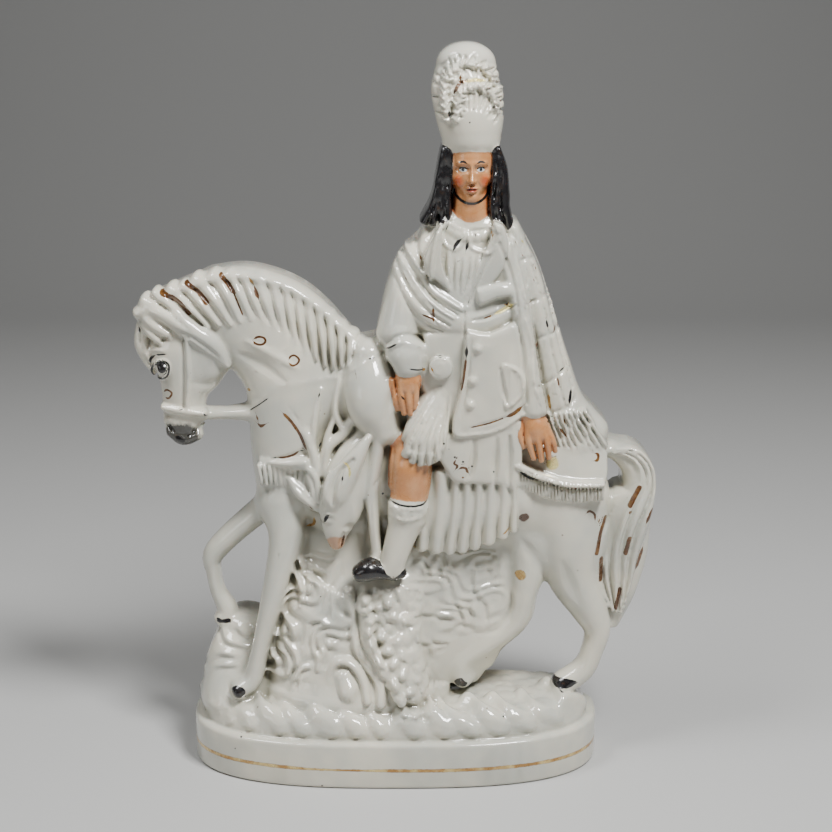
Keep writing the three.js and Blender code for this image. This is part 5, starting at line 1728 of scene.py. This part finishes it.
@dataclass
class Casting:
    """The whole figure as one closed surface, with its painted places as values at the corners."""

    horse: Horse = field(default_factory=Horse)
    rider: Rider = field(default_factory=Rider)
    deer: Deer = field(default_factory=Deer)
    thicket: Thicket = field(default_factory=Thicket)
    base: Base = field(default_factory=Base)
    step: float = 0.8
    triangles: int = 82_000
    back_rounding: float = 3.0
    settling: Pair = (0.5, -0.4)
    mark_reach: float = 8.0
    mark_edge: float = 1.25
    mark_growth: float = 1.3
    rounds: int = 5
    probe: float = 0.05
    longest_move: float = 0.4
    paint_reach: float = 3.0
    windows: Sequence[tuple[float, Curve]] = (
        (1.1, ((-8, 476), (42, 545))), (1.1, ((176, 404), (242, 476))), (1.0, ((-362, 515), (-320, 560))),
        (1.2, ((60, 880), (152, 990))), (1.4, ((50, 596), (150, 760))), (0.65, ((80, 776), (140, 850))),
    )

    def forms(self, rider: list[Form]) -> list[Form]:
        """All the forms but the base with the given ones of the rider, in the order in which they melt."""
        return [
            *self.horse.body(), *self.thicket.forms(), *self.horse.trimmings(), *rider, *self.deer.forms(),
            *self.base.rocks(),
        ]

    def carve(self) -> Relief:
        """Draws the fine relief of every part."""
        relief = Relief()
        for part in (self.horse, self.thicket, self.base, self.deer, self.rider):
            part.engrave(relief)
        return relief

    def brushwork(self) -> Brushwork:
        """All the painted marks."""
        parts = (self.horse, self.rider, self.deer, self.thicket)
        return Brushwork([*(mark for part in parts for mark in part.marks), *self.rider.face.marks()])

    def sculpt(self, clay: Clay, relief: Relief) -> tuple[Array, Array]:
        """Melts all the forms together and draws out the surface.

        Args:
            clay: the empty grid.
            relief: the fine relief.

        Returns:
            Corners in millimetres and faces of four corners.
        """
        clay.add(self.forms(self.rider.forms()))
        log.info("forms melted together")
        clay.flatten_back(self.back_rounding)
        clay.join(*self.base.field(clay), blend=2.0)
        clay.engrave(relief)
        clay.fill_pinches()
        points, faces = largest_shell(*clay.surface())
        for share in self.settling:
            points = settle(points, faces, share)
        log.info("surface of %d corners and %d faces", len(points), len(faces))
        return points, faces

    def thinned(self, points: Array, faces: Array) -> tuple[Array, Array]:
        """Takes away triangles where the surface is plain.

        Args:
            points: corners in millimetres.
            faces: four corners each.

        Returns:
            Corners in millimetres, and triangles.
        """
        data = bpy.data.meshes.new("casting_fine")
        data.from_pydata(points.tolist(), [], faces.tolist())
        fine = shown("casting_fine", data)
        fine.modifiers.new("thin", "DECIMATE").ratio = self.triangles / (2 * len(faces))
        done = bpy.data.meshes.new_from_object(fine.evaluated_get(bpy.context.evaluated_depsgraph_get()))
        bpy.data.objects.remove(fine)
        bpy.data.meshes.remove(data)
        done.calc_loop_triangles()
        corners = np.empty(3 * len(done.vertices))
        done.vertices.foreach_get("co", corners)
        triangles = np.empty(3 * len(done.loop_triangles), np.int32)
        done.loop_triangles.foreach_get("vertices", triangles)
        bpy.data.meshes.remove(done)
        return corners.reshape(-1, 3), triangles.reshape(-1, 3)

    def wanted(self, points: Array, faces: Array) -> Array:
        """The longest edge wanted at each corner: short on the faces and hands, and along painted marks."""
        out = np.full(len(points), FAR)
        near = self.brushwork().values(points, corner_normals(points, faces))["mark_near"]
        out = np.where(near < self.mark_reach, np.maximum(self.mark_edge, self.mark_growth * near), out)
        for edge, window in self.windows:
            out[self.inside(points, window)] = edge
        return out

    @staticmethod
    def inside(points: Array, window: Curve) -> Array:
        """Which corners lie in a window of the front view, on the front."""
        (x0, z0), (x1, z1) = plan(window)
        x, y, z = points.T
        return (x > x0) & (x < x1) & (z > z0) & (z < z1) & (y < -3)

    def refined(self, points: Array, faces: Array, relief: Relief) -> tuple[Array, Array]:
        """Splits the triangles of the finest parts, and lays the corners there on the forms' own surface.

        Each corner moves against the field's slope by the field over the slope, which is worked out from
        differences of a twentieth of a millimetre.

        Args:
            points: corners in millimetres.
            faces: the triangles.
            relief: the fine relief.

        Returns:
            The corners and the triangles.
        """
        for _ in range(self.rounds):
            points, faces = split_long(points, faces, self.wanted(points, faces))
        chosen = np.zeros(len(points), bool)
        for _, window in self.windows:
            chosen |= self.inside(points, window)
        forms, place, h = self.forms(self.rider.forms()), points[chosen], self.probe

        def surface_field(at: Array) -> Array:
            """The melted field less the relief."""
            return melted(forms, at) - relief.push(*at.T)

        for _ in range(2):
            here = surface_field(place)
            slope = np.stack([(surface_field(place + h * way) - here) / h for way in np.eye(3)], axis=1)
            steep = np.maximum((slope**2).sum(axis=1), 0.2)
            move = -(here / steep)[:, None] * slope
            far = np.linalg.norm(move, axis=1, keepdims=True)
            place = place + move * np.minimum(1, self.longest_move / np.maximum(far, 1e-9))
        points[chosen] = place
        log.info("%d corners laid on the forms", chosen.sum())
        return points, faces

    def paint(self, clay: Clay, points: Array, normals: Array) -> dict[str, Array]:
        """Works out the values that the material reads.

        Args:
            clay: the finished grid.
            points: corners in millimetres.
            normals: their directions.

        Returns:
            One value for each corner under each name, distances in millimetres.
        """
        white = np.minimum(melted(self.forms(self.rider.cloth()), points), FAR / 2)
        skin = melted(self.rider.skin(), points)
        dark = melted(self.rider.dark(), points)
        edges = {
            "skin": np.minimum(dark, white) - skin,
            "dark": np.maximum(np.minimum(skin, white) - dark, -self.horse.hooves(points)),
            "muzzle": self.deer.muzzle(points), "soot": self.horse.soot(points),
            **self.rider.face.paint(points),
        }
        return {
            **{name: np.clip(value, -self.paint_reach, self.paint_reach) for name, value in edges.items()},
            "crowd": clay.crowding(points + 0.3 * normals), **self.brushwork().values(points, normals),
        }

    def build(self) -> bpy.types.Object:
        """Builds the piece and places it in the frame."""
        clay, relief = Clay(step=self.step), self.carve()
        points, faces = self.refined(*self.thinned(*self.sculpt(clay, relief)), relief)
        data = smooth_mesh("casting", points * MILLIMETRE, faces.tolist())
        for name, value in self.paint(clay, points, corner_normals(points, faces)).items():
            data.attributes.new(name, "FLOAT", "POINT").data.foreach_set("value", value.astype(np.float32))
        piece = shown("glazed_figure", data)
        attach(piece, "root")
        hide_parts(NODE)
        log.info("casting of %d triangles", len(faces))
        return piece


class Wiring:
    """A node tree that is being wired, with short calls for the nodes used here."""

    def __init__(self, tree: bpy.types.NodeTree) -> None:
        """Keeps the tree."""
        self.tree = tree

    def add(
        self, kind: str, inputs: dict[int | str, Source], output: int | str = 0, **settings: object,
    ) -> Socket:
        """Adds a node.

        Args:
            kind: type of the node.
            inputs: what each named or numbered socket gets, a socket to link or a value to set.
            output: the wanted socket.
            **settings: the node's own settings.

        Returns:
            The output socket.
        """
        node = self.tree.nodes.new(kind)
        for name, value in settings.items():
            setattr(node, name, value)
        for key, source in inputs.items():
            self.feed(node.inputs[key], source)
        return node.outputs[output]

    def feed(self, socket: Socket, source: Source) -> None:
        """Links a socket, or sets its value."""
        if isinstance(source, Socket):
            self.tree.links.new(source, socket)
        elif source is not None:
            socket.default_value = source

    def math(self, operation: str, a: Source, b: Source = None, clamp: bool = False) -> Socket:
        """A sum of one or two values."""
        return self.add("ShaderNodeMath", {0: a, 1: b}, operation=operation, use_clamp=clamp)

    def plus(self, a: Source, b: Source, clamp: bool = False) -> Socket:
        """Two values added."""
        return self.math("ADD", a, b, clamp)

    def times(self, a: Source, b: Source) -> Socket:
        """Two values multiplied."""
        return self.math("MULTIPLY", a, b)

    def sway(self, value: Source, size: float) -> Socket:
        """A value about a half, moved to about nought and multiplied by a size."""
        return self.times(self.math("SUBTRACT", value, 0.5), size)

    def ramp(self, value: Source, low: float, high: float, start: float = 0.0, end: float = 1.0) -> Socket:
        """A smooth step from start to end while the value goes from low to high."""
        inputs = {0: value, 1: low, 2: high, 3: start, 4: end}
        return self.add("ShaderNodeMapRange", inputs, interpolation_type="SMOOTHSTEP")

    def mix(self, share: Source, a: Source, b: Source) -> Socket:
        """Mixes two colours."""
        a, b = ((*c, 1) if isinstance(c, tuple) and len(c) == 3 else c for c in (a, b))
        return self.add("ShaderNodeMix", {0: share, 6: a, 7: b}, output=2, data_type="RGBA")

    def blend(self, share: Source, a: Source, b: Source) -> Socket:
        """Mixes two values."""
        return self.add("ShaderNodeMix", {0: share, 2: a, 3: b}, data_type="FLOAT")

    def value(self, name: str) -> Socket:
        """A value at the mesh's corners."""
        return self.add("ShaderNodeAttribute", {}, output=2, attribute_name=name)

    def place(self) -> Socket:
        """The place in the piece, in metres."""
        return self.add("ShaderNodeTexCoord", {}, output="Object")

    def along(self, axis: str) -> Socket:
        """One part of the place, X, Y or Z."""
        return self.add("ShaderNodeSeparateXYZ", {0: self.place()}, output=axis)

    def noise(self, scale: float, detail: float = 2, roughness: float = 0.5, stretch: float = 0) -> Socket:
        """Noise of the place, its pattern pulled out of shape by the stretch."""
        inputs = {"Scale": scale, "Detail": detail, "Roughness": roughness, "Distortion": stretch}
        return self.add("ShaderNodeTexNoise", {"Vector": self.place(), **inputs})


PORTS = {"Colour": "NodeSocketColor", **dict.fromkeys(("Roughness", "Metal", "Height"), "NodeSocketFloat")}


class Finish:
    """A node group that takes the colour, roughness, metal and height below it and paints over them."""

    name: str = "finish"

    def group(self) -> bpy.types.NodeTree:
        """Makes the group: its sockets, and the wiring that the finish draws."""
        tree = bpy.data.node_groups.new(self.name, "ShaderNodeTree")
        for label, kind in PORTS.items():
            for way in ("INPUT", "OUTPUT"):
                tree.interface.new_socket(label, in_out=way, socket_type=kind)
        given, taken = tree.nodes.new("NodeGroupInput"), tree.nodes.new("NodeGroupOutput")
        wiring = Wiring(tree)
        for label, source in zip(PORTS, self.draw(wiring, *(given.outputs[label] for label in PORTS))):
            wiring.feed(taken.inputs[label], source)
        return tree

    def draw(self, w: Wiring, colour: Source, roughness: Source, metal: Source, height: Source) -> Layers:
        """Wires the finish.

        Args:
            w: the group's tree.
            colour: the colour below.
            roughness: the roughness below.
            metal: how metallic it is below.
            height: the height below, in millimetres.

        Returns:
            The four of them with the finish on top.
        """
        raise NotImplementedError


@dataclass(frozen=True)
class Glaze(Finish):
    """Lead glaze over white earthenware: warm where thin, greyer where it pools, with specks, dirty patches
    and painted shade in its creases.
    """

    name: str = "glaze"
    light: Colour = (0.70, 0.665, 0.55)
    grey: Colour = (0.53, 0.53, 0.465)
    glaze_pool_and_shade: Colour = (0.25, 0.235, 0.17)
    dirt_and_shade: Colour = (0.20, 0.155, 0.10)
    roughness: Pair = (0.09, 0.2)
    speck_scale: float = 110.0
    ripple: float = 0.10
    swell: float = 0.22

    def draw(self, w: Wiring, colour: Source, roughness: Source, metal: Source, height: Source) -> Layers:
        """Cloudy body, dark grey pools of glaze with painted shade in the creases, dirty patches with more
        painted shade in the deepest, brown specks and a wavy skin.
        """
        cloud = w.noise(22, 3, 0.6)
        body = w.mix(w.ramp(cloud, 0.35, 0.7), self.light, self.grey)
        crowd = w.plus(w.value("crowd"), w.sway(cloud, 0.12))
        # Crowded places, the creases, go towards a dark grey: glaze pooling there, and painted shade.
        body = w.mix(w.ramp(crowd, 0.52, 0.84, 0, 0.9), body, self.glaze_pool_and_shade)
        # The deepest creases get patches of a dark brown: dirt, and painted shade as well.
        grime_and_shade = w.times(w.ramp(crowd, 0.66, 0.9), w.ramp(w.noise(160, 4, 0.7), 0.5, 0.68))
        body = w.mix(w.times(grime_and_shade, 0.4), body, self.dirt_and_shade)
        spots = {"Vector": w.place(), "Scale": self.speck_scale}
        specks = w.add("ShaderNodeTexVoronoi", spots, output="Distance")
        rare = w.ramp(w.noise(60, 1, 0.5, 0.4), 0.56, 0.62)
        body = w.mix(w.times(w.times(w.ramp(specks, 0.075, 0.04), rare), 0.75), body, self.dirt_and_shade)
        rough = w.ramp(w.noise(90, 3), 0.3, 0.75, *self.roughness)
        return body, rough, 0.0, w.plus(w.sway(w.noise(260), self.ripple), w.sway(w.noise(75, 1), self.swell))


@dataclass(frozen=True)
class Enamel(Finish):
    """The enamels: flesh on face, hands and knee, black on hair and shoe, and the features of the face."""

    name: str = "enamel"
    flesh: Colour = (0.52, 0.225, 0.085)
    flesh_pale: Colour = (0.60, 0.30, 0.135)
    rouge: Colour = (0.52, 0.075, 0.012)
    black: Colour = (0.011, 0.010, 0.011)
    brown: Colour = (0.04, 0.022, 0.012)
    lips: Colour = (0.50, 0.08, 0.06)
    iris: Colour = (0.05, 0.075, 0.10)
    eye_white: Colour = (0.70, 0.70, 0.66)
    edge_shake: float = 0.9
    sponging: float = 7.0
    roughness: Pair = (0.2, 0.36)

    def draw(self, w: Wiring, colour: Source, roughness: Source, metal: Source, height: Source) -> Layers:
        """Masks from the corner values, their edges shaken a little by noise."""
        shake = w.sway(w.noise(420), self.edge_shake)
        skin = w.ramp(w.plus(w.value("skin"), shake), -0.25, 0.15)
        tint = w.mix(w.ramp(w.noise(130, 3), 0.35, 0.7), self.flesh, self.flesh_pale)
        # In the loop below, crowded skin, between the fingers and in other creases, goes towards rouge:
        # painted shade, and the darker paint there as well.
        for name, low, high, most, paint in (
            ("crowd", 0.5, 0.8, 0.6, self.rouge), ("rouge", 0.4, -2.6, 0.85, self.rouge),
            ("lips", 0.1, -0.15, 0.85, self.lips), ("whites", 0.08, -0.12, 1.0, self.eye_white),
        ):
            tint = w.mix(w.ramp(w.value(name), low, high, 0, most), tint, paint)
        iris = w.times(w.ramp(w.value("irises"), 0.08, -0.1), w.ramp(w.value("whites"), 0.2, 0.0))
        out = w.mix(skin, colour, w.mix(iris, tint, self.iris))
        out = w.mix(w.ramp(w.plus(w.value("muzzle"), shake), 0.6, -0.8, 0, 0.75), out, self.flesh)
        sponge = w.plus(w.value("soot"), w.sway(w.noise(190, 4, 0.7), self.sponging))
        out = w.mix(w.ramp(sponge, 1.6, -0.9, 0, 0.92), out, self.black)
        dark = w.ramp(w.plus(w.value("dark"), shake), -0.2, 0.15)
        out = w.mix(dark, out, w.mix(w.ramp(w.noise(240, 3, 0.6), 0.55, 0.8), self.black, self.brown))
        rough = w.ramp(w.noise(300), 0.3, 0.7, *self.roughness)
        return out, w.blend(w.math("MAXIMUM", skin, dark), roughness, rough), metal, height


@dataclass(frozen=True)
class Gilding(Finish):
    """Painted strokes in black, brown and worn gold, and the gold line round the band, in metres."""

    name: str = "gilding"
    tones: tuple[tuple[float, Colour], ...] = (
        (0.0, (0.010, 0.009, 0.009)), (0.34, (0.095, 0.034, 0.006)), (0.67, (0.42, 0.22, 0.055)),
        (1.0, (0.92, 0.80, 0.36)),
    )
    line_height: float = 0.0110
    line_half: float = 0.00100
    line_sway: float = 0.0016
    line_wear: float = 0.0009
    worn_at: float = -0.028
    thickness: float = 0.03
    roughness: Pair = (0.22, 0.4)

    def strokes(self, w: Wiring, wear: Socket) -> Socket:
        """Where strokes lie: the place across them, thinned towards their ends and broken by the wear."""
        thin = w.ramp(w.value("mark_past"), 0.3, -3.2, 0.05, 1.0)
        gone = w.plus(w.math("DIVIDE", w.math("ABSOLUTE", w.value("mark_across")), thin), w.sway(wear, 0.65))
        return w.times(w.ramp(gone, 1.12, 0.86), w.math("LESS_THAN", w.value("mark_near"), 0.75))

    def band_line(self, w: Wiring, wear: Socket) -> Socket:
        """Where the line round the band lies: how far the height is from its own, with a worn spot."""
        height = w.plus(w.along("Z"), w.sway(w.noise(9, 1), self.line_sway))
        aside = w.math("ABSOLUTE", w.math("SUBTRACT", height, self.line_height))
        worn = w.ramp(w.math("ABSOLUTE", w.math("SUBTRACT", w.along("X"), self.worn_at)), 0.03, 0.012)
        aside = w.plus(w.plus(aside, w.times(worn, 0.0004)), w.sway(wear, self.line_wear))
        front = w.ramp(w.along("Y"), 0.022, 0.018)
        return w.times(w.ramp(aside, self.line_half * 1.2, self.line_half * 0.75), front)

    def draw(self, w: Wiring, colour: Source, roughness: Source, metal: Source, height: Source) -> Layers:
        """Strokes from the corner values and the band's line, in the colours of the scale of tones."""
        wear = w.noise(330, 4, 0.65)
        stroke, line = self.strokes(w, wear), self.band_line(w, wear)
        level = w.plus(w.value("mark_tone"), w.sway(w.noise(210, 3, 0.6), 0.55), clamp=True)
        level = w.times(level, w.math("GREATER_THAN", w.value("mark_tone"), 0.15))
        ramp = w.tree.nodes.new("ShaderNodeValToRGB")
        w.feed(ramp.inputs[0], w.blend(line, level, w.ramp(w.noise(150, 3), 0.3, 0.7, 0.62, 0.86)))
        scale = ramp.color_ramp
        for spot, (at, tone) in enumerate(self.tones):
            stop = scale.elements[spot] if spot < 2 else scale.elements.new(at)
            stop.position, stop.color = at, (*tone, 1)
        cover = w.math("MAXIMUM", stroke, line)
        gold = w.math("MAXIMUM", w.ramp(level, 0.45, 0.65, 0, 0.45), w.times(line, 0.4))
        rough = w.blend(cover, roughness, w.ramp(wear, 0.3, 0.7, *self.roughness))
        raised = w.plus(height, w.times(cover, self.thickness))
        return w.mix(cover, colour, ramp.outputs[0]), rough, w.times(cover, gold), raised


@dataclass(frozen=True)
class GlazedEarthenware:
    """The one material: glaze, enamels and gilding under a clear coat."""

    layers: tuple[Finish, ...] = (Glaze(), Enamel(), Gilding())
    refraction: float = 1.55
    coat: float = 0.6
    coat_roughness: float = 0.04
    glow: float = 0.06
    glow_depth: float = 0.002
    bump: float = 0.7

    def material(self) -> bpy.types.Material:
        """Chains the groups into the shader."""
        made = bpy.data.materials.new(SLOT)
        made.use_nodes = True
        tree = made.node_tree
        shader = tree.nodes["Principled BSDF"]
        for label, value in (
            ("IOR", self.refraction), ("Coat Weight", self.coat), ("Coat Roughness", self.coat_roughness),
            ("Subsurface Weight", self.glow), ("Subsurface Scale", self.glow_depth),
        ):
            shader.inputs[label].default_value = value
        below = None
        for layer in self.layers:
            node = tree.nodes.new("ShaderNodeGroup")
            node.node_tree = layer.group()
            for label in PORTS if below else ():
                tree.links.new(below.outputs[label], node.inputs[label])
            below = node
        bump = tree.nodes.new("ShaderNodeBump")
        bump.inputs["Distance"].default_value = MILLIMETRE
        bump.inputs["Strength"].default_value = self.bump
        tree.links.new(below.outputs["Height"], bump.inputs["Height"])
        for label, socket in (("Colour", "Base Color"), ("Roughness", "Roughness"), ("Metal", "Metallic")):
            tree.links.new(below.outputs[label], shader.inputs[socket])
        tree.links.new(bump.outputs[0], shader.inputs["Normal"])
        return made


Place = tuple[float, float, float]


@dataclass(frozen=True)
class Lamp:
    """A square soft lamp, in metres and watts."""

    name: str
    place: Place
    size: float
    power: float

    def build(self, aim: Place) -> None:
        """Makes the lamp, turned to look at a point."""
        data = bpy.data.lights.new(self.name, "AREA")
        data.size, data.energy = self.size, self.power
        lamp = shown(self.name, data)
        lamp.location = self.place
        x, y, z = np.array(aim) - np.array(self.place)
        pitch, heading = math.atan2(-z, math.hypot(x, y)), math.atan2(y, x)
        lamp.rotation_euler = Euler((math.pi / 2 - pitch, 0, heading - math.pi / 2))


@dataclass
class Studio:
    """A pale table, soft light, and the camera at the photograph's angle."""

    camera_place: Place = (0.0113, -0.800, 0.401)
    camera_pitch: float = 14.9
    focal_pixels: float = 1569.0
    picture: float = 832.0
    sensor: float = 36.0
    aim: Place = (0.0, 0.0, 0.2)
    lamps: Sequence[Lamp] = (
        Lamp("key", (0.40, -0.48, 1.10), 0.30, 21), Lamp("fill", (-1.0, -0.8, 0.5), 0.4, 1.0),
        Lamp("top", (-0.50, -0.25, 1.1), 0.35, 6.5),
    )
    air_light: float = 0.03
    table_grey: Colour = (0.50, 0.50, 0.49)
    table_roughness: float = 0.7

    def camera(self) -> None:
        """Makes the camera: its lens is the sensor times the focal length over the picture's width."""
        data = bpy.data.cameras.new("camera")
        data.sensor_width = self.sensor
        data.lens = self.sensor * self.focal_pixels / self.picture
        camera = shown("camera", data)
        camera.location = self.camera_place
        camera.rotation_euler = Euler((math.radians(90 - self.camera_pitch), 0, 0))
        bpy.context.scene.camera = camera

    def table(self) -> None:
        """A pale table that curves up into a wall behind: a profile of y and z carried along x."""
        turn = np.linspace(0, np.pi / 2, 24)
        bend = np.column_stack([1.2 + 0.8 * np.sin(turn), 0.8 * (1 - np.cos(turn))])
        profile = np.vstack([[[-3.0, 0.0], [-1.0, 0.0]], bend, [[2.0, 4.0]]])
        points = np.array([[x, y, z] for x in (-4.0, 4.0) for y, z in profile])
        n = len(profile)
        data = smooth_mesh("table", points, [[i, i + 1, n + i + 1, n + i] for i in range(n - 1)])
        table = shown("table", data)
        made = bpy.data.materials.new("table")
        made.use_nodes = True
        inputs = made.node_tree.nodes["Principled BSDF"].inputs
        inputs["Base Color"].default_value = (*self.table_grey, 1)
        inputs["Roughness"].default_value = self.table_roughness
        data.materials.append(made)

    def build(self) -> None:
        """Sets up the camera, the table, the lamps and the air's light."""
        self.camera()
        self.table()
        for lamp in self.lamps:
            lamp.build(self.aim)
        world = bpy.data.worlds.new("air")
        bpy.context.scene.world = world
        world.use_nodes = True
        inputs = world.node_tree.nodes["Background"].inputs
        inputs["Color"].default_value = (1.0, 1.0, 1.0, 1)
        inputs["Strength"].default_value = self.air_light


def main() -> None:
    """Builds the studio and the figure, in order."""
    logging.basicConfig(level=logging.INFO, format="%(name)s: %(message)s")
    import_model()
    Studio().build()
    log.info("studio built")
    casting = Casting()
    piece = casting.build()
    piece.data.materials.append(GlazedEarthenware().material())
    log.info("casting built")


if __name__ == "__main__":
    main()
